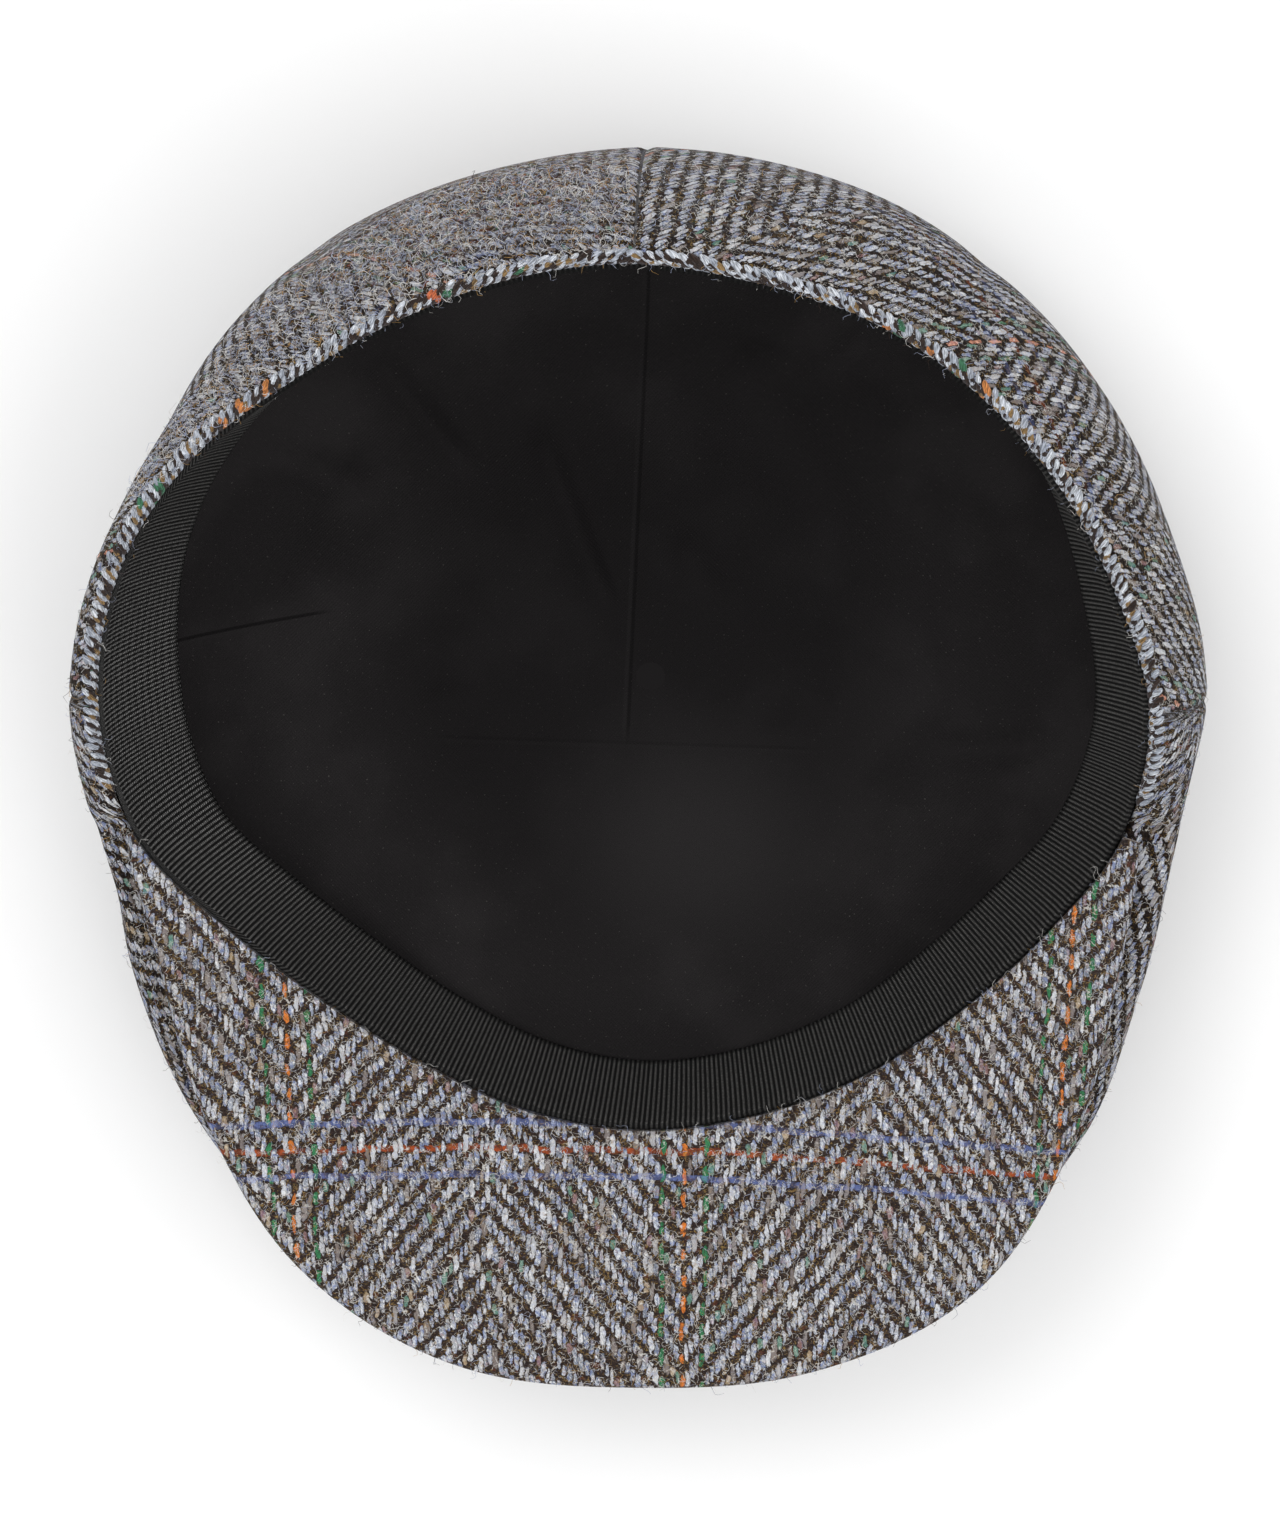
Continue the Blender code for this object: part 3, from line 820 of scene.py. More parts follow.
@dataclass(frozen=True)
class Weave:
    """The herringbone of the tweed and the colours of its yarns."""

    end_pitch: float = 1.0
    pick_pitch: float = 1.23
    stripe: float = 36.0
    pick_repeat: float = 60.0
    check_offset: float = 4.0
    float_length: float = 1.22
    float_width: float = 0.98
    pale: Colour = (0.515, 0.555, 0.645)
    deep: Colour = (0.135, 0.155, 0.20)
    cream: Colour = (0.90, 0.895, 0.885)
    brown: Colour = (0.033, 0.020, 0.018)
    earth: Colour = (0.130, 0.085, 0.060)
    ochre: Colour = (0.42, 0.27, 0.085)
    rust: Colour = (0.22, 0.060, 0.025)
    blue: Colour = (0.17, 0.22, 0.45)
    rose: Colour = (0.50, 0.27, 0.30)
    green: Colour = (0.040, 0.20, 0.085)
    orange: Colour = (0.66, 0.19, 0.035)
    red: Colour = (0.60, 0.12, 0.035)
    sky: Colour = (0.20, 0.27, 0.62)
    hair: Colour = (0.85, 0.82, 0.77)
    check_half: float = 0.5
    float_offset: float = 0.7
    raggedness: float = 1.35
    wander: tuple[tuple[float, float], ...] = ((0.11, 1.6), (0.7, 0.95), (2.4, 0.38))
    odd_half: float = 0.012
    felt_cover: float = 0.66
    stray_lift: float = 0.35

    def group(self) -> Tree:
        """Wire the group that draws the weave from a place on the flat cloth.

        Returns:
            The shader group.
        """
        tree = bpy.data.node_groups.new("herringbone", "ShaderNodeTree")
        tree.interface.new_socket("Place", in_out="INPUT", socket_type="NodeSocketVector")
        # Depth sets how strongly painted shade darkens the weave's hollows.
        for label in ("First End", "First Pick", "Slope", "Checks", "Tone", "Fuzz", "Depth", "Felt"):
            tree.interface.new_socket(label, in_out="INPUT", socket_type=FLOAT)
        for label, kind in (("Colour", "NodeSocketColor"), ("Height", FLOAT)):
            tree.interface.new_socket(label, in_out="OUTPUT", socket_type=kind)
        wires = Wires(tree)
        start, end = wires.add("NodeGroupInput").outputs, wires.add("NodeGroupOutput").inputs
        flat = wires.scaled(start["Place"], 1000.0)
        u, v, _ = wires.split(self.unsteady(flat))
        ends, picks = u / self.end_pitch, v / self.pick_pitch
        end_number = ends.floor()
        from_first = end_number - start["First End"]
        shift = wires.math("PINGPONG", from_first, self.stripe) * start["Slope"]
        along = picks - start["First Pick"] - shift
        float_number = ((along + 1.0) / 4.0).floor()
        chance = [wires.out("ShaderNodeTexWhiteNoise", {0: wires.joined(end_number, float_number, seed)},
                            0, noise_dimensions="3D") for seed in (3.0, 11.0, 19.0)]
        inside = self.float_form(flat, ends, along, chance)
        on_top = inside.band(-0.12, 0.16)
        dome = wires.math("SQRT", wires.math("MAXIMUM", inside, 0.0))
        twist = wires.joined(u * 5.2 + v * 1.9, v * 1.3 - u * 0.7, chance[0] * 40.0)
        fibres = twist.noise(1.0, 3.0)
        pale = self.warp_colour(flat, fibres, chance[0], chance[1])
        dark = self.weft_colour(flat, u, v)

        half_check = self.check_half
        from_check = abs(wires.math("WRAP", from_first, self.stripe, -self.stripe))
        bright = fibres.band(0.25, 0.75, 0.55, 1.35)
        for dye, away in ((self.orange, 0.0), (self.green, self.check_offset)):
            on_check = from_check.near(away, half_check) * start["Checks"]
            pale = wires.mix(on_check, pale, wires.shaded(dye, bright))
        half = self.pick_repeat / 2
        from_pick = abs(wires.math("WRAP", picks.floor() - start["First Pick"], half, -half))
        patches = flat.noise(0.55, 3.0).band(0.40, 0.60, 0.30, 1.0)
        red, sky = (from_pick.near(away, half_check) * start["Checks"] * patches
                    for away in (0.0, self.check_offset))
        dark = wires.layered(dark, (red, self.red), (sky * 0.8, self.sky))
        pale = wires.layered(pale, (sky * 0.45, self.sky))

        weft_height = 0.42 - picks.centred() ** 2.0 * 0.25
        height = wires.choose(on_top, weft_height, dome * 0.65 + 0.55) + (fibres - 0.5) * 0.9
        # Painted shade: the colour is darkened where the weave's height is low, between the floats.
        painted_hollow_shade = height.band(0.0, 0.95, 0.46, 1.10) ** start["Depth"]
        colour = wires.shaded(wires.mix(on_top, dark, pale), painted_hollow_shade)
        colour, height = self.felted(flat, colour, height, start["Felt"])
        colour, height = self.stray(flat, colour, height, start["Fuzz"])
        # Tone scales the colour; the crown's lower Tone is painted shade.
        wires.feed(wires.shaded(colour, start["Tone"]), end["Colour"])
        wires.feed(height, end["Height"])
        return tree

    def unsteady(self, flat: Signal) -> Signal:
        """Move places a little, as the yarns of a soft cloth wander.

        Args:
            flat: The place on the cloth.

        Returns:
            The moved place.
        """
        wires, moved = flat.wires, flat
        for scale, reach in self.wander:
            drift = wires.vector("SUBTRACT", flat.noise(scale, 1.0, output=1), (0.5, 0.5, 0.5))
            moved = wires.vector("ADD", moved, wires.scaled(drift, reach))
        return moved

    def float_form(self, flat: Signal, ends: Signal, along: Signal, chance: Sequence[Signal]) -> Signal:
        """Return how far inside a warp float a place lies: above 0 inside, up to 1.

        Args:
            flat: The place on the cloth.
            ends: Warp yarns counted across the cloth.
            along: Weft yarns counted along this warp yarn.
            chance: Three random numbers of this float.

        Returns:
            The signal.
        """
        from_float = flat.wires.math("WRAP", along - 1.0, 2.0, -2.0) + (chance[0] - 0.5) * self.float_offset
        length = chance[1].band(0.0, 1.0, 0.72, 1.2) * self.float_length
        width = chance[2].band(0.0, 1.0, 0.78, 1.15) * self.float_width
        longways = (abs(from_float) / length) ** 2.3
        crossways = (abs(ends.centred()) / width) ** 2.4
        ragged = (flat.noise(2.6, 2.0) - 0.5) * self.raggedness
        return (1.0 - (longways + crossways)) + ragged

    def warp_colour(self, flat: Signal, fibres: Signal, tone: Signal, second: Signal) -> Signal:
        """Return the colour of the pale warp yarns.

        Args:
            flat: The place on the cloth.
            fibres: The streaks of the yarn's fibres.
            tone: A random number of this float.
            second: Another one.

        Returns:
            The signal.
        """
        tint = flat.noise(0.9, 2.0, (31.0, 7.0, 2.0))
        odd = ((0.02, self.ochre), (0.05, self.rust), (0.075, self.green))
        return flat.wires.layered(
            flat.wires.mix(tone.band(0.0, 1.0, 0.25, 1.0), self.deep, self.pale),
            (fibres.band(0.52, 0.36, 0.0, 0.85), self.deep),
            (fibres.band(0.50, 0.68, 0.0, 0.9), self.cream),
            (tint.band(0.53, 0.62, 0.0, 0.65), self.blue),
            (tint.band(0.42, 0.35, 0.0, 0.28), self.rose),
            *((second.near(draw, self.odd_half) * 0.65, shade) for draw, shade in odd),
            (second.band(0.70, 0.80, 0.0, 0.45), self.cream),
            (second.band(0.86, 0.96, 0.0, 0.8), self.earth),
        )

    def weft_colour(self, flat: Signal, u: Signal, v: Signal) -> Signal:
        """Return the colour of the dark weft yarns with their flecks.

        Args:
            flat: The place on the cloth.
            u: The place across the warp, in millimetres.
            v: The place along the warp.

        Returns:
            The signal.
        """
        streak = flat.wires.joined(u * 1.3, v * 4.2, 5.0).noise(1.0, 3.0)
        flecks = flat.noise(1.9, 3.0, (5.0, 13.0, 9.0))
        wide = flat.noise(0.45, 2.0, (3.0, 3.0, 9.0))
        return flat.wires.layered(
            self.brown,
            (streak.band(0.46, 0.70), self.earth),
            (flecks.band(0.60, 0.67, 0.0, 0.8), self.ochre),
            (flecks.band(0.36, 0.31, 0.0, 0.5), self.deep),
            (wide.band(0.60, 0.70, 0.0, 0.45), self.rust),
        )

    def felted(self, flat: Signal, colour: Signal, height: Signal, felt: Any) -> tuple[Signal, Signal]:
        """Lay matted wool over the weave.

        Args:
            flat: The place on the cloth.
            colour: The weave's colour.
            height: Its height.
            felt: How matted the cloth is, from 0 to 1.

        Returns:
            The colour and the height with the wool.
        """
        wires = flat.wires
        curls = flat.noise(1.1, 4.0, (2.0, 8.0, 5.0))
        hue = flat.noise(0.7, 3.0, (12.0, 1.0, 7.0))
        specks = flat.noise(0.9, 3.0, (4.0, 21.0, 3.0))
        wool = wires.layered(
            self.brown,
            (curls.band(0.46, 0.55), self.deep),
            (curls.band(0.53, 0.62), self.pale),
            (hue.band(0.55, 0.64, 0.0, 0.55), self.ochre),
            (hue.band(0.44, 0.36, 0.0, 0.60), self.rust),
            (specks.band(0.62, 0.68, 0.0, 0.7), self.green),
            (specks.band(0.36, 0.30, 0.0, 0.6), self.orange),
        )
        share = wires.math("MULTIPLY", felt, self.felt_cover)
        return wires.mix(share, colour, wool), wires.choose(share, height, curls)

    def stray(self, flat: Signal, colour: Signal, height: Signal, fuzz: Any) -> tuple[Signal, Signal]:
        """Lay fine stray fibres over the weave.

        Args:
            flat: The place on the cloth.
            colour: The weave's colour.
            height: Its height.
            fuzz: How hairy the cloth is.

        Returns:
            The colour and the height with the fibres.
        """
        kinds = ((0.55, self.hair, 0.75), (0.8, self.hair, 0.6),
                 (1.1, self.ochre, 0.45), (0.7, self.brown, 0.8))
        for number, (scale, shade, cover) in enumerate(kinds):
            away = abs(flat.noise(scale, 1.5, (number * 17.0, number * 5.0, number * 3.0)) - 0.5)
            patch = flat.noise(0.6, 1.0, (number * 3.0, 40.0, 1.0))
            line = away.band(0.034 * scale, 0.010 * scale) * patch.band(0.47, 0.58, 0.0, cover) * fuzz
            line = flat.wires.math("MINIMUM", line, 1.0)
            colour = flat.wires.mix(line, colour, shade)
            height = height + line * self.stray_lift
        return colour, height


class Fabric:
    """A cloth's material that is being made."""

    def __init__(self, name: str, roughness: float, sheen: float, sheen_tint: Colour = (1.0, 1.0, 1.0),
                 reflection: float = 0.2) -> None:
        """Set the shader's plain values.

        Args:
            name: The material's name.
            roughness: Of the shader.
            sheen: How much light its nap catches at a low angle.
            sheen_tint: The nap's colour.
            reflection: How strongly its fibres mirror light.
        """
        self.material = bpy.data.materials.new(name)
        self.material.use_nodes = True
        self.shader = self.material.node_tree.nodes["Principled BSDF"]
        self.wires = Wires(self.material.node_tree)
        plain = {"Roughness": roughness, "Specular IOR Level": reflection, "Sheen Weight": sheen,
                 "Sheen Roughness": 0.5, "Sheen Tint": solid(sheen_tint)}
        for label, value in plain.items():
            self.wires.feed(value, self.shader.inputs[label])

    def flat(self, name: str, scale: float = 1000.0) -> Signal:
        """Return the place on a flat map of the cloth, in millimetres."""
        return self.wires.scaled(self.wires.out("ShaderNodeUVMap", uv_map=name), scale)

    def value(self, name: str, output: str = "Fac") -> Signal:
        """Return a named value of the mesh."""
        return self.wires.out("ShaderNodeAttribute", output=output, attribute_name=name)

    def place(self) -> Signal:
        """Return the place in metres."""
        return self.wires.out("ShaderNodeTexCoord", output="Object")

    def finish(self, colour: Signal, height: Signal | None = None, relief: float = 0.0,
               strength: float = 1.0) -> Material:
        """End the material.

        Args:
            colour: Its colour.
            height: Its relief, if it has one.
            relief: How deep the relief is.
            strength: How strongly it shows.

        Returns:
            The material.
        """
        self.wires.feed(colour, self.shader.inputs["Base Color"])
        if height is not None:
            feeds = {"Height": height, "Distance": relief, "Strength": strength}
            self.wires.feed(self.wires.out("ShaderNodeBump", feeds), self.shader.inputs["Normal"])
        return self.material


@dataclass(frozen=True)
class Tweed:
    """The finish of one tweed piece: where its pattern starts and how deep its relief is."""

    name: str
    weave: Tree
    panels: tuple[Panel, ...]
    checks: float = 1.0
    # The tone scales the whole colour; the crown's lower tone is painted shade.
    tone: float = 1.0
    fuzz: float = 1.0
    # The depth sets how strongly painted shade darkens the weave's hollows.
    depth: float = 1.0
    felted: bool = False
    felt_tone: float = 0.06
    sheen: float = 0.12
    relief: float = 0.42 * MM
    # The painted shade in the seam's groove between two panels.
    painted_seam_shade: Colour = (0.02, 0.015, 0.012)

    def material(self) -> Material:
        """Draw one weave, or two that meet at a seam.

        Returns:
            The material.
        """
        cloth = Fabric(self.name, 0.92, self.sheen, (0.85, 0.86, 0.9), 0.12)
        wires = cloth.wires
        felt = cloth.value("felt") if self.felted else 0.0
        feeds = {"Checks": self.checks, "Tone": felt * self.felt_tone + self.tone, "Fuzz": self.fuzz,
                 "Depth": self.depth, "Felt": felt}
        drawn = []
        for panel in self.panels:
            place = {"Place": cloth.flat(panel.map, 1.0), "First End": panel.first_end,
                     "First Pick": panel.first_pick, "Slope": panel.slope}
            node = wires.add("ShaderNodeGroup", place | feeds, node_tree=self.weave)
            drawn.append(tuple(Signal(wires, node.outputs[label]) for label in ("Colour", "Height")))
        colour, height = drawn[0]
        if len(drawn) > 1:
            from_seam = cloth.value("panel")
            side = from_seam.band(-0.0001, 0.0001)
            seam = abs(from_seam).band(0.0009, 0.0002)
            colour = wires.mix(side, drawn[1][0], colour)
            # Painted shade darkens the seam's groove.
            colour = wires.layered(colour, (seam * 0.45, self.painted_seam_shade))
            height = wires.choose(side, drawn[1][1], height) - seam * 0.9
        return cloth.finish(colour, height, self.relief)


@dataclass(frozen=True)
class Cotton:
    """The dull black cotton of the lining."""

    middle: tuple[float, float]
    seams: tuple[Crease, ...]
    base: Colour = (0.0150, 0.0136, 0.0141)
    worn: Colour = (0.0235, 0.0215, 0.0221)
    shade: Colour = (0.0048, 0.0042, 0.0045)
    # A painted sheen: a lighter patch on the lining's floor, and the painted highlight beside its seams.
    painted_sheen: Colour = (0.0215, 0.0199, 0.0204)
    lint: Colour = (0.09, 0.085, 0.08)
    # The painted shade in the seams' grooves.
    painted_groove_shade: Colour = (0.0015, 0.0013, 0.0014)
    # Where the painted sheen lies, how far it reaches and how it is stretched, in millimetres from the
    # crown's middle.
    painted_sheen_place: tuple[float, float] = (9.5, -33.0)
    painted_sheen_reach: float = 38.0
    painted_sheen_shape: float = 1.25
    thread: float = 0.36
    shaded_reach: float = 66.0

    def material(self) -> Material:
        """Draw the woven cotton with its worn places, painted shade towards its middle, a painted sheen and
        its seams.

        Returns:
            The material.
        """
        cloth = Fabric("black_cotton", roughness=0.78, sheen=0.015, reflection=0.05)
        wires = cloth.wires
        flat = cloth.flat("cloth")
        u, v, _ = wires.split(wires.scaled(flat, math.pi / self.thread))
        over = wires.math("SINE", u) * wires.math("SINE", v)
        fine = flat.noise(1.4, 4.0)
        cloud = flat.noise(0.035, 3.0)
        share = cloud.band(0.42, 0.66, 0.0, 0.75) + fine.band(0.4, 0.8, 0.0, 0.25)
        dust = flat.noise(2.2, 1.0, (9.0, 4.0, 0.0))
        middle = (self.middle[0] / MM, self.middle[1] / MM, 0.0)
        x, y, _ = wires.split(wires.vector("SUBTRACT", wires.scaled(cloth.place(), 1000.0), middle))
        # Painted shade darkens the lining towards its middle, and a painted sheen lightens a patch of its
        # floor.
        painted_sheen_y = (y - self.painted_sheen_place[1]) * self.painted_sheen_shape
        from_painted_sheen = wires.length(wires.joined(x - self.painted_sheen_place[0], painted_sheen_y))
        colour = wires.layered(
            wires.mix(share, self.base, self.worn),
            (dust.band(0.71, 0.77, 0.0, 0.6), self.lint),
            (wires.length(wires.joined(x, y)).band(self.shaded_reach, 34.0, 0.0, 0.62), self.shade),
            (from_painted_sheen.band(self.painted_sheen_reach, 4.0, 0.0, 0.85), self.painted_sheen),
        )
        height = over * 0.5 + fine * 0.8
        for seam in self.seams:
            along, across = seam.seen_from(x, y)
            ends = along.band(0.0, 4.0) * along.band(seam.length, seam.length - 6.0)
            # Painted shade along each seam's groove, and a painted highlight in the sheen colour on the bank
            # beside it.
            line, beside = abs(across).band(0.45, 0.12) * ends, abs(across - 0.75).band(0.55, 0.1) * ends
            colour = wires.layered(colour, (line * -seam.height, self.painted_groove_shade),
                                   (beside * (-0.5 * seam.height), self.painted_sheen))
            height = height + line * (3.0 * seam.height)
        return cloth.finish(colour, height, 0.09 * MM, 0.8)


@dataclass(frozen=True)
class Grosgrain:
    """The black ribbed ribbon."""

    rib: float = 1.0
    dot: float = 0.56
    # Painted light: low is the painted shade between the ribs, high the painted highlight on their crests,
    # lit a brighter painted highlight where the light falls.
    low: Colour = (0.0050, 0.0047, 0.0047)
    high: Colour = (0.190, 0.186, 0.180)
    lit: Colour = (0.310, 0.306, 0.300)
    lit_run: float = 440.0
    lit_reach: float = 60.0

    def material(self) -> Material:
        """Draw the ribs and woven dots as painted highlights and shade, with a brighter painted highlight
        where the light falls.

        Returns:
            The material.
        """
        cloth = Fabric("black_grosgrain", roughness=0.55, sheen=0.02, reflection=0.08)
        wires = cloth.wires
        flat = cloth.flat("cloth")
        u, v, _ = wires.split(flat)
        ribs = u / self.rib
        crest = wires.math("COSINE", ribs * math.tau)
        odd = wires.math("FLOORED_MODULO", wires.math("ROUND", ribs), 2.0) * 0.5
        dots = wires.math("COSINE", (v / self.dot + odd) * math.tau)
        fine = flat.noise(2.6, 3.0)
        # Painted highlights on the rib crests and woven dots, painted shade between them.
        body = crest.band(-0.5, 1.0) * dots.band(-0.8, 1.0, 0.10, 1.0) * fine.band(0.30, 0.70, 0.35, 1.25)
        body = body * cloth.value("plain").band(0.0, 0.6, 1.0, 0.12)
        lit = abs(u - self.lit_run).band(self.lit_reach, 15.0)
        colour = wires.mix(body, self.low, wires.mix(lit, self.high, self.lit))
        return cloth.finish(colour, dots * 0.5 + fine * 0.7, 0.10 * MM)


@dataclass(frozen=True)
class Fibre:
    """The loose hairs of the tweed."""

    pale: Colour = (0.84, 0.82, 0.79)
    blue: Colour = (0.42, 0.46, 0.60)
    dark: Colour = (0.055, 0.033, 0.025)
    ochre: Colour = (0.50, 0.30, 0.11)

    def material(self) -> Material:
        """Draw hairs whose colour changes from one to the next.

        Returns:
            The material.
        """
        cloth = Fabric("loose_wool", roughness=0.7, sheen=0.0)
        tone = cloth.value("tone")
        uneven = cloth.place().noise(900.0, 1.0)
        colour = cloth.wires.layered(self.pale, (tone.band(0.30, 0.40), self.blue),
                                     (tone.band(0.66, 0.70), self.dark), (tone.band(0.88, 0.90), self.ochre))
        return cloth.finish(cloth.wires.shaded(colour, uneven.band(0.3, 0.7, 0.75, 1.1)))


class Loom:
    """A geometry tree with named inputs that is run once on a piece and leaves a plain mesh."""

    kinds = {float: FLOAT, int: "NodeSocketInt", Material: "NodeSocketMaterial",
             Piece: "NodeSocketObject"}

    def __init__(self, name: str, inputs: dict[str, Any]) -> None:
        """Start the tree.

        Args:
            name: Its name.
            inputs: The values of its named inputs.
        """
        self.tree = bpy.data.node_groups.new(name, "GeometryNodeTree")
        for way in ("INPUT", "OUTPUT"):
            self.tree.interface.new_socket("Geometry", in_out=way, socket_type="NodeSocketGeometry")
        self.inputs = inputs
        for label, value in inputs.items():
            self.tree.interface.new_socket(label, in_out="INPUT", socket_type=self.kinds[type(value)])
        self.wires = Wires(self.tree)
        self.start = self.wires.add("NodeGroupInput").outputs
        self.end = self.wires.add("NodeGroupOutput")

    def attribute(self, name: str, kind: str = "FLOAT") -> Signal:
        """Return a named value of the geometry."""
        return self.wires.out("GeometryNodeInputNamedAttribute", {"Name": name}, "Attribute", data_type=kind)

    def place(self) -> Signal:
        """Return the place of each point."""
        return self.wires.out("GeometryNodeInputPosition")

    def draw(self, low: float, high: float, offset: int) -> Signal:
        """Return a random number from low to high for each element, with its own seed."""
        feeds = {"Min": low, "Max": high, "Seed": self.wires.math("ADD", self.start["Seed"], float(offset))}
        return self.wires.out("FunctionNodeRandomValue", feeds, data_type="FLOAT")

    def finish(self, geometry: Signal) -> None:
        """End the tree in the real faces of a geometry, with their finish."""
        feeds = {"Geometry": self.wires.out("GeometryNodeRealizeInstances", {"Geometry": geometry}),
                 "Material": self.start["Material"]}
        self.wires.feed(self.wires.out("GeometryNodeSetMaterial", feeds), self.end.inputs["Geometry"])

    def run(self, name: str, source: Mesh) -> Piece:
        """Run the tree on a mesh.

        Args:
            name: The new piece's name.
            source: The mesh that it grows on.

        Returns:
            The new piece, with a plain mesh.
        """
        carrier = shown(name + "_source", source)
        modifier = carrier.modifiers.new("loom", "NODES")
        modifier.node_group = self.tree
        for item in self.tree.interface.items_tree:
            if item.in_out == "INPUT" and item.name in self.inputs:
                modifier[item.identifier] = self.inputs[item.name]
        graph = bpy.context.evaluated_depsgraph_get()
        mesh = bpy.data.meshes.new_from_object(carrier.evaluated_get(graph))
        carrier.modifiers.clear()
        bpy.data.objects.remove(carrier, do_unlink=True)
        mesh.name = name
        return shown(name, mesh)


@dataclass(frozen=True)
class Hairs:
    """Curly loose hairs: how many, how long and how thick they are, and how they lie."""

    density: float
    length: float = 2.8 * MM
    thickness: float = 0.046 * MM
    lean: float = 1.5
    curl: float = 1.3 * MM
    ring: float = 0.22
    turns: float = 0.85
    points: int = 5
    seed: int = 1

    def loom(self, material: Material) -> Loom:
        """Return the tree that lets the hairs stand on a surface.

        Args:
            material: Their finish.

        Returns:
            The tree.
        """
        loom = Loom("loose_hairs", {
            "Density": self.density, "Length": self.length, "Thickness": self.thickness, "Lean": self.lean,
            "Curl": self.curl, "Seed": self.seed, "Material": material})
        wires, start = loom.wires, loom.start
        roots = wires.add("GeometryNodeDistributePointsOnFaces", {
            "Mesh": start["Geometry"], "Density": start["Density"], "Seed": start["Seed"]},
            distribute_method="RANDOM").outputs
        size = loom.draw(0.4, 1.0, 1) ** 1.5 * start["Length"]
        turned = wires.out("GeometryNodeInstanceOnPoints", {
            "Points": roots["Points"], "Instance": self.ringlet(loom), "Rotation": roots["Rotation"],
            "Scale": wires.joined(size, size, size)})
        tilt = loom.draw(0.72, 1.0, 2) * start["Lean"]
        for angles in ((0.0, 0.0, loom.draw(0.0, math.tau, 3)), (tilt, 0.0, 0.0),
                       (0.0, 0.0, loom.draw(0.0, math.tau, 5))):
            turned = wires.out("GeometryNodeRotateInstances", {
                "Instances": turned, "Rotation": wires.joined(*angles), "Local Space": True})
        toned = wires.out("GeometryNodeStoreNamedAttribute", {
            "Geometry": turned, "Name": "tone", "Value": loom.draw(0.0, 1.0, 4)},
            data_type="FLOAT", domain="INSTANCE")
        real = wires.out("GeometryNodeRealizeInstances", {"Geometry": toned})
        along = wires.out("GeometryNodeSplineParameter", output="Factor")
        apart = wires.joined(loom.attribute("tone") * 90.0, 0.0)
        drift = wires.vector("ADD", wires.scaled(loom.place(), 800.0), apart).noise(1.0, 1.0, output=1)
        drift = wires.vector("SUBTRACT", drift, (0.5, 0.5, 0.5))
        offset = wires.scaled(drift, along ** 0.8 * start["Curl"])
        curled = wires.out("GeometryNodeSetPosition", {"Geometry": real, "Offset": offset})
        taper = (1.0 - along * 0.5) * start["Thickness"]
        outline = wires.out("GeometryNodeCurvePrimitiveCircle", {"Resolution": 3, "Radius": 1.0})
        loom.finish(wires.out("GeometryNodeCurveToMesh", {
            "Curve": curled, "Profile Curve": outline, "Scale": taper, "Fill Caps": True}))
        return loom

    def ringlet(self, loom: Loom) -> Signal:
        """Wind one hair of unit length round on its way up.

        Args:
            loom: The tree.

        Returns:
            The hair's line.
        """
        wires = loom.wires
        line = wires.out("GeometryNodeCurvePrimitiveLine", {"Start": (0.0, 0.0, 0.0), "End": (0.0, 0.0, 1.0)})
        line = wires.out("GeometryNodeResampleCurve", {"Curve": line, "Count": self.points})
        angle = wires.out("GeometryNodeSplineParameter", output="Factor") * (math.tau * self.turns)
        x = (wires.math("COSINE", angle) - 1.0) * self.ring
        y = wires.math("SINE", angle) * self.ring
        return wires.out("GeometryNodeSetPosition", {"Geometry": line, "Offset": wires.joined(x, y)})


def ride(piece: Piece, slot: Slot, *nodes: str) -> Piece:
    """Let a piece ride on the cap's body.

    Args:
        piece: The piece.
        slot: Not used.
        *nodes: The CAD nodes that it stands for.

    Returns:
        The piece.
    """
    if nodes:
        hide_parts(*nodes)
    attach(piece, BODY)
    LOG.info("%s: %d faces", piece.name, len(piece.data.polygons))
    return piece


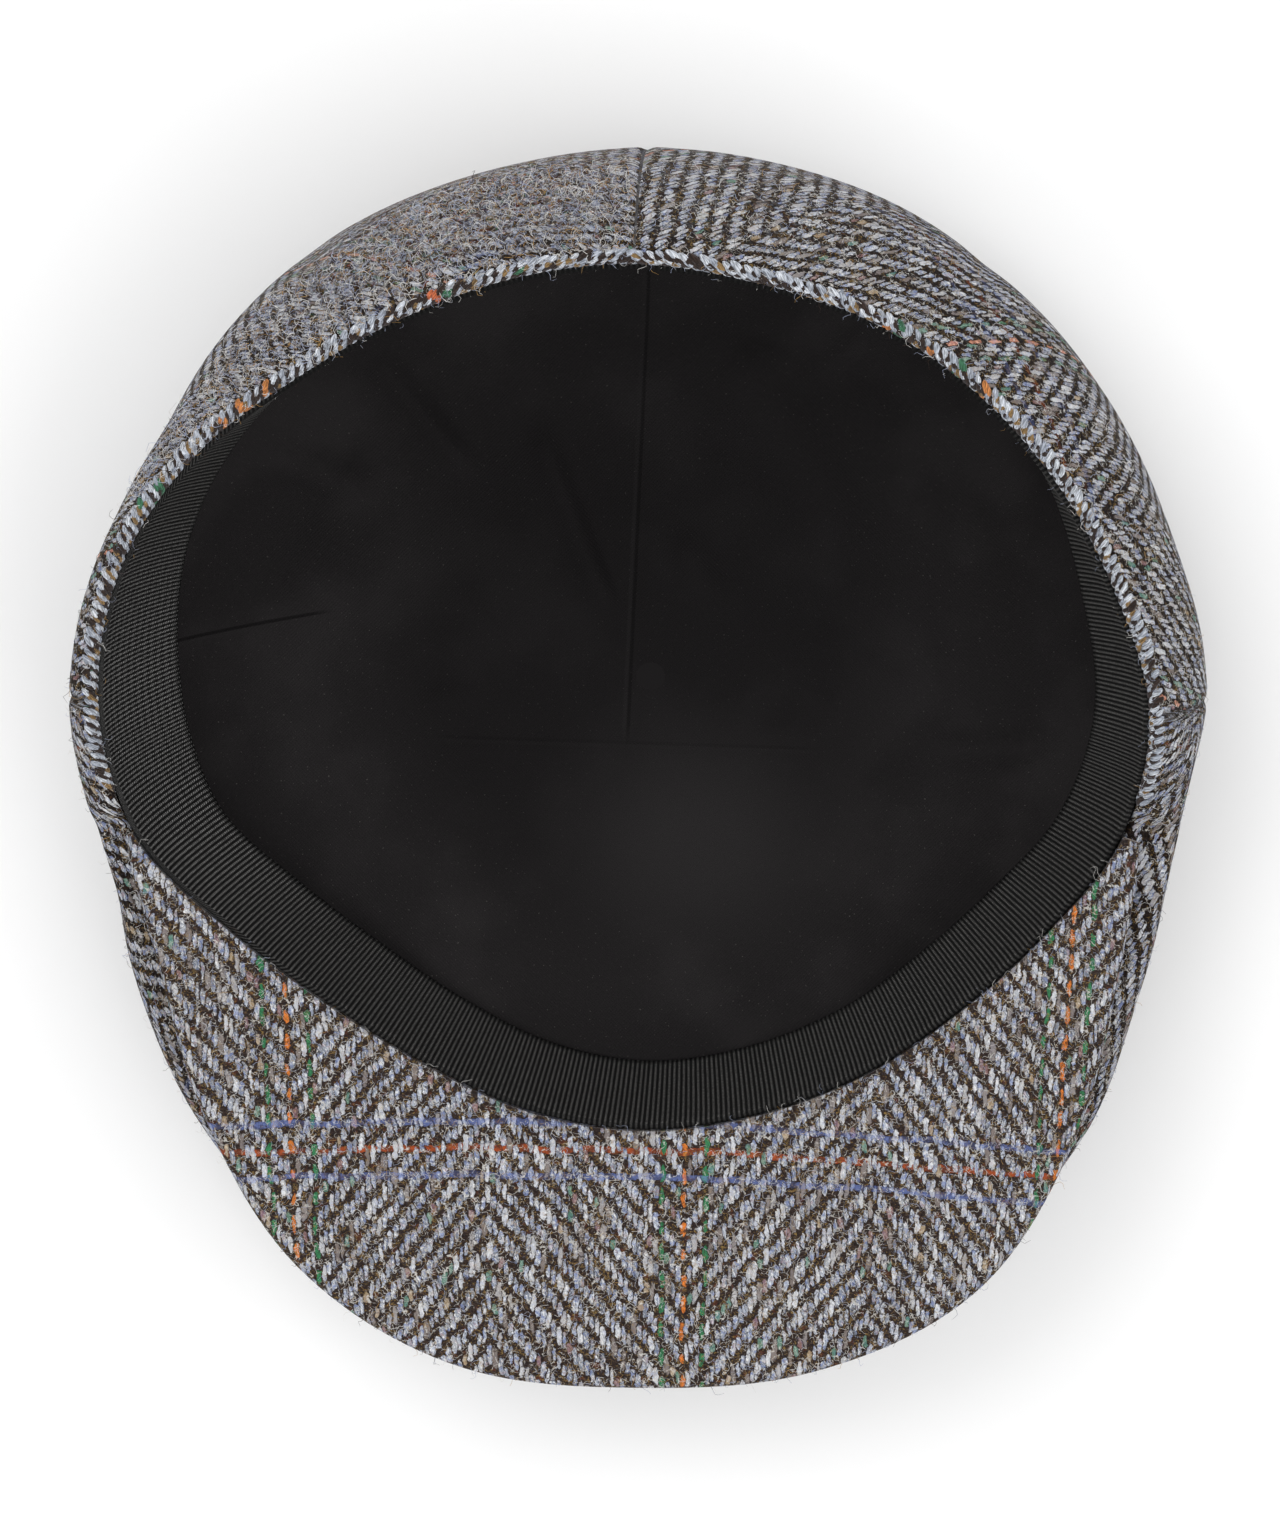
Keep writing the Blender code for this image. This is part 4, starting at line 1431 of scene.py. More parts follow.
@dataclass(frozen=True)
class Crown:
    """The tweed crown: two side panels that meet at the back, and the piece over the top."""

    form: Form
    step: float = 1.0
    wall_rings: int = 36
    shoulder_rings: int = 18
    floor_rings: int = 6
    hem_steps: int = 9
    seams: tuple[float, ...] = (90.0, 0.0, 180.0)
    seam_fan: tuple[float, ...] = (-0.6, -0.3, 0.3, 0.6)
    tip_fan: tuple[float, ...] = (-11.7, -12.7, -13.7, -14.7)
    folds: tuple[float, ...] = (52.5, 127.5)
    fold_reach: float = 0.62
    fold_depth: float = 0.7 * MM
    fold_width: float = 4.5 * MM
    wave_depth: float = 0.45 * MM
    side_cone: float = 0.22
    bias: float = math.radians(48)
    right_check: tuple[float, float] = (-68 * MM, 13 * MM)
    left_check: tuple[float, float] = (37 * MM, 2 * MM)
    seam_turn: float = 0.50
    seam_end: float = 0.86
    seam_depth: float = 0.4 * MM
    seam_width: float = 0.8 * MM
    bank_height: float = 0.35
    bank_place: float = 2.4 * MM
    bank_width: float = 1.5 * MM
    felt_right: float = 0.26

    def azimuths(self) -> Array:
        """Return the azimuths of the sections, closer together at the seams and the peak's tips.

        Returns:
            Degrees, in order.
        """
        found = set(np.arange(-90, 270, self.step).tolist())
        found |= {seam + fan for seam in self.seams for fan in self.seam_fan}
        found |= {turned for tip in self.tip_fan for turned in (tip, 180 - tip)}
        return np.array(sorted(found))

    def panel(self, azimuth: Array, share: Array, radius: Array, wall: Array) -> Array:
        """Return how far each place is from the seam between a side panel and the top piece.

        Args:
            azimuth: Azimuths, as a column.
            share: Shares of the wall from the hem, as a row.
            radius: Radii, as (azimuth, place).
            wall: The wall's length at each azimuth, as a column.

        Returns:
            Distances, above 0 on the side panels.
        """
        turned = np.where(azimuth > 90, 180 - azimuth, azimuth)
        beside = np.radians(turned) * radius
        back = np.clip(turned / 90, 0, 1)
        end = self.seam_turn + (self.seam_end - self.seam_turn) * (1 - (1 - back) ** 3)
        below = (end - share) * wall
        return np.where(beside > 0, np.minimum(beside, below), np.maximum(beside, -0.05))

    def build(self) -> Weft:
        """Build the crown from the outside's middle over the hem to the inside's middle.

        Returns:
            Its mesh rows with their maps.
        """
        form = self.form
        azimuth = self.azimuths()
        column = azimuth[:, None]
        line = form.crown_line(azimuth, self.wall_rings, self.shoulder_rings, self.floor_rings)
        way = outward(line)
        hidden = form.hidden(azimuth)[:, None]
        run = run_along(line)
        edge = form.hem * (1 - hidden) + form.tweed * hidden
        half = (edge + (form.tweed - edge) * smooth(run / form.hem_run)) / 2
        outer = line + way * half[..., None]
        inner = line - way * half[..., None]
        wall_end = self.wall_rings + self.shoulder_rings
        wall = run[:, wall_end:wall_end + 1]
        share = run / wall
        panel = self.panel(column, share, outer[..., 0], wall)
        depth = self.relief(column, share, outer[..., 0], panel)
        outer = outer - way * depth[..., None]
        outer[..., 1] = np.maximum(outer[..., 1], 0.0)
        turn = (np.arange(1, self.hem_steps + 1) * math.pi / (self.hem_steps + 1))[None, :, None]
        out = way[:, :1]
        back = np.stack([-out[..., 1], out[..., 0]], axis=-1)
        cap = line[:, :1] + half[:, :1, None] * (out * np.cos(turn) + back * np.sin(turn))
        section = np.concatenate([outer[:, ::-1], cap, inner], axis=1)
        places = form.placed(azimuth, section)
        weft = Weft("crown_cloth", places, ring=True, tube=False)
        count = line.shape[1]
        weft.close(0, (*form.middle, 0.0))
        weft.close(places.shape[1] - 1, (*form.middle, form.tweed))
        length = run_along(section)
        from_hem = length[:, count - 1:count] - length
        weft.maps["side_cloth"] = self.side_map(azimuth, section, from_hem, count)
        weft.maps["top_cloth"] = self.top_map(places, from_hem, count)
        over_hem = np.repeat(panel[:, :1], self.hem_steps, axis=1)
        weft.values["panel"] = np.concatenate([panel[:, ::-1], over_hem, panel], axis=1)
        felt = self.felt(column, share)
        bare = np.zeros((len(felt), self.hem_steps + count))
        weft.values["felt"] = np.concatenate([felt[:, ::-1], bare], axis=1)
        return weft

    def felt(self, azimuth: Array, share: Array) -> Array:
        """Return how matted the crown's cloth is: mostly at the back's left.

        Args:
            azimuth: Azimuths, as a column.
            share: Shares of the wall from the hem.

        Returns:
            Shares, as (azimuth, place).
        """
        left = smooth((azimuth - 88) / 8) * smooth((141 - azimuth) / 26)
        right = self.felt_right * smooth((94 - azimuth) / 6) * smooth((azimuth - 56) / 20)
        return np.maximum(left, right) * smooth((share - 0.02) / 0.1) * smooth((1.05 - share) / 0.1)

    def relief(self, azimuth: Array, share: Array, radius: Array, panel: Array) -> Array:
        """Return how far the cloth's outside lies below its plain form.

        Args:
            azimuth: Azimuths, as a column.
            share: Shares of the wall from the hem.
            radius: Radii of the outside.
            panel: Distances from the seam of the top piece.

        Returns:
            Depths in metres; below 0 the cloth stands out.
        """
        on_wall = 1 - smooth((share - 0.90) / 0.1)
        depth = self.groove(np.radians(azimuth - 90) * radius) * on_wall
        depth = depth + self.groove(panel) * (1 - smooth((share - 0.97) / 0.03)) * (share > 0.02)
        reach = self.fold_reach
        fade = smooth(share / 0.08) * (1 - smooth((share - reach * 0.6) / (reach * 0.4)))
        for middle in self.folds:
            away = np.radians((azimuth - middle + 180) % 360 - 180) * radius
            depth = depth + self.fold_depth * np.exp(-(away / self.fold_width) ** 2) * fade
        turn = np.radians(azimuth)
        waves = (np.sin(5 * turn + 9 * share + 0.4) * np.sin(7.0 * share + 2 * turn)
                 + 0.6 * np.sin(11 * turn - 6 * share + 2.1) * np.sin(11.0 * share + 1.0))
        calm = smooth(share / 0.15) * on_wall
        return depth + self.wave_depth * waves * calm

    def groove(self, distance: Array) -> Array:
        """Return the relief of a sewn seam.

        Args:
            distance: Distances from it.

        Returns:
            Depths: the valley less the banks beside it.
        """
        banks = np.exp(-((np.abs(distance) - self.bank_place) / self.bank_width) ** 2)
        valley = self.seam_depth * np.exp(-(distance / self.seam_width) ** 2)
        return valley - self.bank_height * self.seam_depth * banks

    def side_map(self, azimuth: Array, section: Array, from_hem: Array, count: int) -> Array:
        """Lay the side panels flat, with their checks at the map's origin.

        Args:
            azimuth: Azimuths of the sections.
            section: Radii and heights.
            from_hem: Lengths from the hem's top.
            count: How many places lie on the outside.

        Returns:
            The map, with the first row again at its end.
        """
        hem = self.form.placed(azimuth, section)[:, count - 1]
        run = run_along(hem[None])[0]
        run = (run - np.interp(90.0, azimuth, run))[:, None]
        radius = float(np.mean(self.form.rim(azimuth))) / self.side_cone
        right, left = (self.flat(radius, *check) for check in (self.right_check, self.left_check))
        return wrapped(self.flat(radius, run, from_hem) - np.where(run[..., None] <= 0, right, left))

    def flat(self, radius: float, run: Any, reach: Any) -> Array:
        """Lay places of a side panel flat, cut on the bias.

        Args:
            radius: The cone's reach from its tip to the hem.
            run: Runs along the hem from the back.
            reach: Lengths below the hem.

        Returns:
            Places on the flat cloth.
        """
        turn = np.abs(run) / radius
        x = (radius + reach) * np.cos(turn) - radius
        y = (radius + reach) * np.sin(turn)
        cos, sin = math.cos(self.bias), math.sin(self.bias)
        return pair(x * cos - y * sin, x * sin + y * cos)

    def top_map(self, places: Array, from_hem: Array, count: int) -> Array:
        """Lay the top piece flat, with its warp from the front to the back.

        Args:
            places: Places of the whole section.
            from_hem: Lengths from the hem's top.
            count: How many places lie on the outside.

        Returns:
            The map, with the first row again at its end.
        """
        widest = count - 1 - self.wall_rings
        line = places[:, widest, :2]
        tangent = np.roll(line, -1, axis=0) - np.roll(line, 1, axis=0)
        normal = np.stack([tangent[:, 1], -tangent[:, 0]], axis=-1)
        normal /= np.linalg.norm(normal, axis=-1, keepdims=True)
        beyond = from_hem[:, widest:widest + 1] - from_hem
        folded = line[:, None, :] + normal[:, None, :] * beyond[..., None]
        index = np.arange(places.shape[1])[None, :, None]
        plain = smooth((self.floor_rings - index) / self.floor_rings) * (index < count)
        return wrapped(folded * (1 - plain) + places[..., :2] * plain)

    def dress(self, weave: Tree) -> Piece:
        """Build the crown and finish it.

        Args:
            weave: The shader group of the weave.

        Returns:
            The crown's cloth.
        """
        panels = (Panel("side_cloth", 0.0, 0.0, -1.0), Panel("top_cloth", 8.0, 3.0, 1.0))
        # The crown's tone lies below the peak's as painted shade on its walls; its depth deepens the painted
        # shade in the weave's hollows.
        finish = Tweed("crown_tweed", weave, panels, checks=0.65, tone=0.745, fuzz=1.15, depth=2.6,
                       felted=True, sheen=0.02)
        piece = ride(shown("crown_cloth", self.build().mesh(), finish.material()), Slot.TWEED, "crown")
        return piece


@dataclass(frozen=True)
class Peak:
    """The stiff peak: the cloth under it and its covered board."""

    form: Form
    step: float = 1.25
    rings: int = 34
    nose_steps: int = 6
    inner_round: float = 0.5 * MM
    inner_rings: int = 28
    turned_in: float = 6 * MM
    check_x: float = 7.9 * MM
    lean: float = 0.83
    skew: float = 0.014
    left_ease: float = 0.963

    def azimuths(self) -> Array:
        """Return the azimuths of the peak's sections, from one tip to the other."""
        tip = self.form.tip_azimuth
        return np.linspace(-180 - tip, tip, round((180 + 2 * tip) / self.step) + 1)

    def build(self, name: str, top_drop: float, thickness: Array, round_above: bool) -> Weft:
        """Build one half of the peak.

        Args:
            name: The piece's name.
            top_drop: How far its upper face lies under the visible underside.
            thickness: Of the half, at each azimuth.
            round_above: Whether its outer edge is rounded above rather than below.

        Returns:
            Its mesh rows with their map.
        """
        form = self.form
        azimuth = self.azimuths()
        column, inner, full = azimuth[:, None], form.rim(azimuth)[:, None], thickness[:, None]
        shares = np.linspace(0, 1, self.rings + 1)[None, :]
        reach = form.edge(azimuth)[:, None] - full / 2
        radius = inner + (reach - inner) * shares
        height = form.peak_height(column, radius) - top_drop
        inset = self.inner_round * smooth(1 - shares * self.inner_rings)
        upper = pair(radius, height - (inset if round_above else 0.0))
        lower = pair(radius, height - full)
        turn = (np.arange(1, self.nose_steps + 1) / (self.nose_steps + 1) * math.pi)[None, :]
        side = reach + full / 2 * np.sin(turn) ** 0.5
        fall = (1 - np.cos(turn)) * (full / 2)
        nose = pair(side, form.peak_height(column, side) - top_drop - fall)
        section = np.concatenate([upper, nose, lower[:, ::-1]], axis=1)
        places = form.placed(azimuth, section)
        weft = Weft(name, places, ring=False, tube=True)
        weft.cap()
        weft.maps["cloth"] = self.flat_map(azimuth, places, section, upper.shape[1])
        return weft

    def flat_map(self, azimuth: Array, places: Array, section: Array, count: int) -> Array:
        """Lay the peak's cloth flat, with its warp from the back to the front.

        Args:
            azimuth: Azimuths of the sections.
            places: Places of the whole section.
            section: Radii and heights.
            count: How many places lie on the upper face.

        Returns:
            The map.
        """
        form = self.form
        length = run_along(section)
        over = np.clip(length - length[:, count - 1:count], 0.0, self.turned_in)
        turn = np.radians(azimuth)[:, None]
        x = places[..., 0] - form.middle[0] + over * np.cos(turn)
        y = places[..., 1] - form.middle[1] + over * np.sin(turn)
        arc = x * (1 + x * x / (6 * form.arch_radius ** 2))
        u = (arc - self.check_x) / (1 - self.lean * (form.front - y))
        u = np.where(u < 0, u * self.left_ease, u)
        return pair(u, y / math.cos(form.peak_rise) + self.skew * x)

    def dress(self, weave: Tree) -> Piece:
        """Finish the peak's two halves.

        Args:
            weave: The shader group of the weave.

        Returns:
            The half that the camera sees.
        """
        form = self.form
        board = form.board(self.azimuths())
        finish = Tweed("peak_tweed", weave, (Panel("cloth", 0.0, -72.0, 1.0),), tone=0.96).material()
        cover_weft = self.build("peak_cover", 0.0, np.full_like(board, form.cover), True)
        board_weft = self.build("peak_top", form.cover + form.gap / 3, board, False)
        under = ride(shown("peak_cover", cover_weft.mesh(), finish), Slot.TWEED, "peak_underside")
        ride(shown("peak_top", board_weft.mesh(), finish), Slot.TWEED, "peak_upper")
        return under


@dataclass(frozen=True)
class Lining:
    """The black lining: a soft bag with a centre seam, darts and folds."""

    form: Form
    step: float = 1.5
    steps: int = 26
    ripple: float = 0.35
    deepest: float = -0.3
    ends: float = 6.0
    creases: tuple[Crease, ...] = tuple(starmap(Crease, (
        (-54.0, 62.0, -34.0, 38.0, 2.6, 2.2), (-50.0, 64.0, -30.0, 40.0, 2.0, -1.2),
        (44.0, 69.0, 32.0, 57.0, 2.4, 1.8), (-22.0, 48.0, -8.0, 11.5, 3.0, 1.6),
        (-17.0, 47.0, -3.0, 12.0, 2.4, -1.3), (-42.0, -15.0, 34.0, -16.5, 2.4, 0.9),
        (52.0, -14.0, 78.0, -12.0, 2.6, 2.0), (55.0, -8.0, 76.0, -4.0, 3.0, -1.2),
        (-78.0, 44.0, -52.0, 34.0, 3.6, 2.4), (-76.0, 34.0, -54.0, 26.0, 3.0, -1.4),
        (-42.0, -1.0, -36.0, -9.0, 3.0, 1.8), (4.0, 28.0, 14.0, 12.0, 3.2, 1.7),
        (16.0, 64.0, 42.0, 20.0, 5.0, 1.3),
    )))
    seams: tuple[Crease, ...] = tuple(starmap(Crease, (
        (-0.6, 84.0, -4.4, -14.3, 0.4, -0.42), (-98.0, 5.0, -60.0, 12.0, 0.4, -0.6),
        (-42.0, -12.0, 34.0, -13.5, 0.4, -0.14),
    )))

    def build(self) -> Weft:
        """Build the lining as a double layer that is closed over its edge.

        Returns:
            Its mesh rows with their map.
        """
        form = self.form
        azimuth = np.arange(-90, 270, self.step)
        line = form.lining_line(azimuth, self.steps)
        way = outward(line)
        half = form.lining / 2
        cap = line[:, :1] + np.stack([-way[:, :1, 1], way[:, :1, 0]], axis=-1) * half
        section = np.concatenate([(line + way * half)[:, ::-1], cap, line - way * half], axis=1)
        places = form.placed(azimuth, section)
        places[..., 2] += self.folds(places)
        weft = Weft("lining_cloth", places, ring=True, tube=False)
        low = form.tweed + form.lining_lift
        low_lift = self.folds(np.array([*form.middle, low]))
        weft.close(0, (*form.middle, low + low_lift))
        weft.close(places.shape[1] - 1, (*form.middle, low + form.lining + low_lift))
        length = run_along(section)
        reach = length[:, -1:] - length + line[:, -1:, 0]
        turn = np.radians(azimuth)[:, None]
        weft.maps["cloth"] = wrapped(pair(reach * np.cos(turn), reach * np.sin(turn)))
        return weft

    def folds(self, places: Array) -> Array:
        """Return how far the folds lift the lining.

        Args:
            places: Places, with x, y and z on the last axis.

        Returns:
            Heights in metres.
        """
        form = self.form
        x = (places[..., 0] - form.middle[0]) / MM
        y = (places[..., 1] - form.middle[1]) / MM
        lift = np.zeros_like(x)
        for crease in self.creases:
            along, across = crease.seen_from(x, y)
            ends = smooth(along / self.ends) * smooth((crease.length - along) / self.ends)
            lift = lift + crease.height * np.exp(-(across / crease.half_width) ** 2) * ends
        lift = lift + self.ripple * np.sin(x / 9 + y / 17) * np.sin(y / 11 - x / 23 + 1.0)
        steep = smooth((form.side_height * 0.75 - places[..., 2]) / (form.side_height * 0.4))
        return np.maximum(lift, self.deepest) * MM * steep

    def dress(self) -> None:
        """Build the lining and finish it."""
        finish = Cotton(self.form.middle, self.seams).material()
        piece = ride(shown("lining_cloth", self.build().mesh(), finish), Slot.LINING, "lining")


@dataclass(frozen=True)
class Sweatband:
    """The grosgrain ribbon inside the opening."""

    form: Form
    rib: float = 1.0 * MM
    columns_per_rib: int = 6
    rows: int = 12
    depth: float = 0.34 * MM
    selvedge: float = 1.3 * MM
    plain_reach: float = 62.0
    plain_fade: float = 20.0
    plain_width: float = 6 * MM
    slant: float = 0.26
    slant_azimuth: float = 180.0
    slant_reach: float = 26.0

    def build(self) -> Mesh:
        """Build the smooth ribbon with the values from which its ribs are raised.

        Returns:
            Its mesh.
        """
        form = self.form
        width = form.ribbon_width
        fine = np.arange(-90, 270, 0.25)
        rim = form.placed(fine, pair(form.rim(fine)[:, None], form.rim_height(fine)[:, None]))[:, 0]
        steps = np.linalg.norm(np.roll(rim, -1, axis=0) - rim, axis=-1)
        length = float(steps.sum())
        ribs = round(length / self.rib)
        run = np.arange(ribs * self.columns_per_rib) * length / (ribs * self.columns_per_rib)
        azimuth = np.interp(run, np.concatenate([[0.0], np.cumsum(steps)]), np.append(fine, 270.0))
        share = np.linspace(0, 1, self.rows + 1)[None, :]
        top = (form.rim_height(azimuth) - form.ribbon_drop)[:, None]
        outer = (form.rim(azimuth) - form.gap)[:, None]
        lean = (form.lean(azimuth) * width)[:, None]
        drop = np.sqrt(width ** 2 - lean ** 2)
        front = pair(outer - form.ribbon - lean * share ** form.ribbon_bend, top - drop * share)
        back_share = np.array([[1.0, 0.5, 0.0]])
        back = pair(outer - lean * back_share ** form.ribbon_bend, top - drop * back_share)
        section = np.concatenate([front, back], axis=1)
        weft = Weft("ribbon_smooth", form.placed(azimuth, section), ring=True, tube=True)
        down = run_along(section)
        away = (azimuth - self.slant_azimuth) / self.slant_reach
        moved = (self.slant * np.exp(-away ** 2))[:, None] * np.minimum(down, width)
        around = np.append(run, length)[:, None] + wrapped(moved)
        weft.maps["cloth"] = pair(around, wrapped(down))
        on_front = np.arange(section.shape[1])[None, :] <= self.rows
        rise = smooth(down / self.selvedge) * smooth((width - down) / self.selvedge) * on_front
        behind = smooth((self.plain_reach - np.abs(azimuth - 90.0)) / self.plain_fade)[:, None]
        plain = behind * smooth(1 - down / self.plain_width)
        weft.values["rise"] = rise * (1 - plain)
        weft.values["plain"] = plain
        weft.values["run"] = (run[:, None] + moved) * self.rib * ribs / length
        turn = np.radians(azimuth)[:, None]
        facing = np.broadcast_arrays(-np.cos(turn), -np.sin(turn), -lean / width, down)[:3]
        mesh = weft.mesh()
        keep(mesh, "facing", np.stack(facing, axis=-1).reshape(-1, 3))
        return mesh

    def loom(self, material: Material) -> Loom:
        """Return the tree that raises the ribs.

        Args:
            material: The ribbon's finish.

        Returns:
            The tree.
        """
        loom = Loom("ribbon_ribs", {"Rib Pitch": self.rib, "Rib Depth": self.depth, "Material": material})
        wires, start = loom.wires, loom.start
        wave = wires.math("COSINE", loom.attribute("run") / start["Rib Pitch"] * math.tau)
        height = wave * 0.5 * start["Rib Depth"] * loom.attribute("rise")
        offset = wires.scaled(loom.attribute("facing", "FLOAT_VECTOR"), height)
        loom.finish(wires.out("GeometryNodeSetPosition", {"Geometry": start["Geometry"], "Offset": offset}))
        return loom

    def dress(self) -> None:
        """Build the ribbon and finish it."""
        piece = self.loom(Grosgrain().material()).run("sweatband_ribbon", self.build())
        ride(piece, Slot.RIBBON, "sweatband")


@dataclass(frozen=True)
class HemYarns:
    """The yarns that lie bare over the crown's rolled hem."""

    form: Form
    crown: Piece
    start: float = -11.0
    end: float = 191.0
    pitch: float = 1.95 * MM
    rows: tuple[float, ...] = (52.0, 90.0, 128.0, 166.0)
    half_length: float = 1.45 * MM
    half_width: float = 0.70 * MM
    half_height: float = 0.52 * MM
    sink: float = 0.06 * MM
    grain_back: float = math.radians(28)
    grain_side: float = math.radians(46)
    seed: int = 4
    dye_reach: float = 0.45
    dyed: tuple[tuple[float, ...], ...] = (
        (), (144.8, 142.0, 138.8, 108.8, 57.5, 51.8, 43.5),
        (157.2, 154.8, 104.0, 113.5, 56.2, 47.5), (115.5,))
    colours: tuple[Colour, ...] = ((0.56, 0.59, 0.64), (0.52, 0.20, 0.06), (0.045, 0.15, 0.08),
                                   (0.50, 0.13, 0.05), (0.030, 0.018, 0.013), (0.24, 0.15, 0.06))
    shadow: Colour = (0.17, 0.20, 0.27)
    bare: Colour = (0.85, 0.85, 0.86)

    def seats(self) -> dict[str, Array]:
        """Return the yarns' places, directions and kinds.

        Returns:
            The values of all yarns, by name.
        """
        form = self.form
        fine = np.linspace(self.start, self.end, 2000)
        line = form.crown_line(fine, 24, 2, 1)
        ways = outward(line)[:, 0]
        hem = form.placed(fine, line[:, :1])[:, 0]
        run = run_along(hem[None])[0]
        draw = np.random.default_rng(self.seed).uniform
        found = []
        kinds = [(row, turn, dark) for row, turn in enumerate(self.rows) for dark in (False, True)]
        for row, turn, dark in kinds:
            for number in range(int(run[-1] / self.pitch)):
                at = (number + 0.36 * row + (0.5 if dark else 0.0) + draw(-0.12, 0.12)) * self.pitch
                azimuth = float(np.interp(at, run, fine))
                phi = math.radians(turn + (20 if dark else 0) + draw(-7, 7))
                index = int(np.searchsorted(fine, azimuth).clip(1, len(fine) - 2))
                tangent = hem[index + 1] - hem[index - 1]
                angle = math.radians(azimuth)
                around, rise = np.array([math.cos(angle), math.sin(angle), 0.0]), np.array([0.0, 0.0, 1.0])
                out = around * ways[index, 0] + rise * ways[index, 1]
                back = rise * ways[index, 0] - around * ways[index, 1]
                up = out * math.cos(phi) + back * math.sin(phi)
                over = back * math.cos(phi) - out * math.sin(phi)
                sideways = min(abs(azimuth - 90) / 90, 1.0)
                grain = self.grain_back + (self.grain_side - self.grain_back) * sideways
                grain = math.copysign(grain, azimuth - 90) + draw(-0.16, 0.16)
                ahead = tangent / np.linalg.norm(tangent)
                found.append((
                    hem[index] + up * (form.hem / 2), ahead * math.cos(grain) + over * math.sin(grain), up,
                    draw(0, 1), self.dye(azimuth, dark, draw), draw(0.70, 1.15) * (0.9 if dark else 1.0)))
        columns = zip(("place", "aim", "up", "tone", "dye", "size"), zip(*found))
        return {name: np.array(values, dtype=float) for name, values in columns}

    def dye(self, azimuth: float, dark: bool, draw: Callable[[float, float], float]) -> float:
        """Return a yarn's colour number.

        Args:
            azimuth: Where it lies.
            dark: Whether it is a weft yarn.
            draw: Gives a random number between two.

        Returns:
            The number, as the mesh keeps it.
        """
        near = [colour for colour, places in enumerate(self.dyed)
                if any(abs(place - azimuth) < self.dye_reach for place in places)]
        if near and draw(0, 1) < 0.6:
            return float(near[0])
        if dark:
            return 5.0 if draw(0, 1) < 0.25 else 4.0
        return 4.0 if draw(0, 1) < 0.14 else 0.0

    def loom(self, material: Material) -> Loom:
        """Return the tree that lays one short yarn at each point and bends it over the hem.

        Args:
            material: The yarns' finish.

        Returns:
            The tree.
        """
        loom = Loom("hem_yarns", {
            "Ground": self.crown, "Half Length": self.half_length, "Half Width": self.half_width,
            "Half Height": self.half_height, "Sink": self.sink, "Material": material})
        wires, start = loom.wires, loom.start
        ball = wires.out("GeometryNodeMeshUVSphere", {"Segments": 7, "Rings": 6, "Radius": 1.0}, "Mesh")
        lying = wires.out("GeometryNodeTransform", {"Geometry": ball, "Rotation": (0.0, math.pi / 2, 0.0)})
        kept = wires.out("GeometryNodeStoreNamedAttribute", {
            "Geometry": lying, "Name": "strand", "Value": loom.place()},
            data_type="FLOAT_VECTOR", domain="POINT")
        up, aim, strand = (loom.attribute(name, "FLOAT_VECTOR") for name in ("up", "aim", "strand"))
        turn = wires.out("FunctionNodeAxesToRotation", {0: up, 1: aim}, primary_axis="Z", secondary_axis="X")
        size = loom.attribute("size")
        laid = wires.out("GeometryNodeInstanceOnPoints", {
            "Points": start["Geometry"], "Instance": kept, "Rotation": turn,
            "Scale": wires.joined(size * start["Half Length"], size * start["Half Width"], 1e-5)})
        real = wires.out("GeometryNodeRealizeInstances", {"Geometry": laid})
        ground = wires.out("GeometryNodeObjectInfo", {"Object": start["Ground"]}, "Geometry",
                           transform_space="ORIGINAL")
        place, normal = (
            wires.out("GeometryNodeSampleNearestSurface", {
                "Mesh": ground, "Value": value, "Sample Position": loom.place()}, data_type="FLOAT_VECTOR")
            for value in (loom.place(), wires.out("GeometryNodeInputNormal")))
        rise = wires.split(strand)[2] * start["Half Height"] + start["Sink"]
        moved = wires.vector("ADD", place, wires.scaled(normal, rise))
        loom.finish(wires.out("GeometryNodeSetPosition", {"Geometry": real, "Position": moved}))
        return loom

    def material(self) -> Material:
        """Make the yarns' finish, which changes from yarn to yarn.

        Returns:
            The material.
        """
        cloth = Fabric("hem_wool", roughness=0.9, sheen=0.2, sheen_tint=(0.9, 0.92, 1.0))
        wires = cloth.wires
        tone, dye = cloth.value("tone"), cloth.value("dye")
        x, y, z = wires.split(cloth.value("strand", "Vector"))
        streaks = wires.joined(x * 1.1, y * 3.4 + x * 1.2, z * 2.6 + tone * 60.0).noise(1.0, 3.0)
        numbers = range(1, len(self.colours))
        dyed = ((dye.near(float(number), 0.4), self.colours[number]) for number in numbers)
        pale = dye.near(0.0, 0.4)
        colour = wires.layered(self.colours[0], *dyed, (pale * tone.band(0.1, 0.9, 0.55, 0.0), self.shadow))
        colour = wires.shaded(colour, streaks.band(0.34, 0.66, 0.40, 1.35))
        colour = wires.layered(colour, (pale * streaks.band(0.60, 0.70, 0.0, 0.5), self.bare))
        return cloth.finish(colour, streaks, 0.25 * MM)

    def dress(self) -> Piece:
        """Lay the yarns and finish them.

        Returns:
            The yarns.
        """
        seats = self.seats()
        mesh = bpy.data.meshes.new("hem_seats")
        mesh.from_pydata(seats.pop("place").tolist(), [], [])
        for name, values in seats.items():
            keep(mesh, name, values)
        return ride(self.loom(self.material()).run("hem_yarns", mesh), Slot.TWEED)


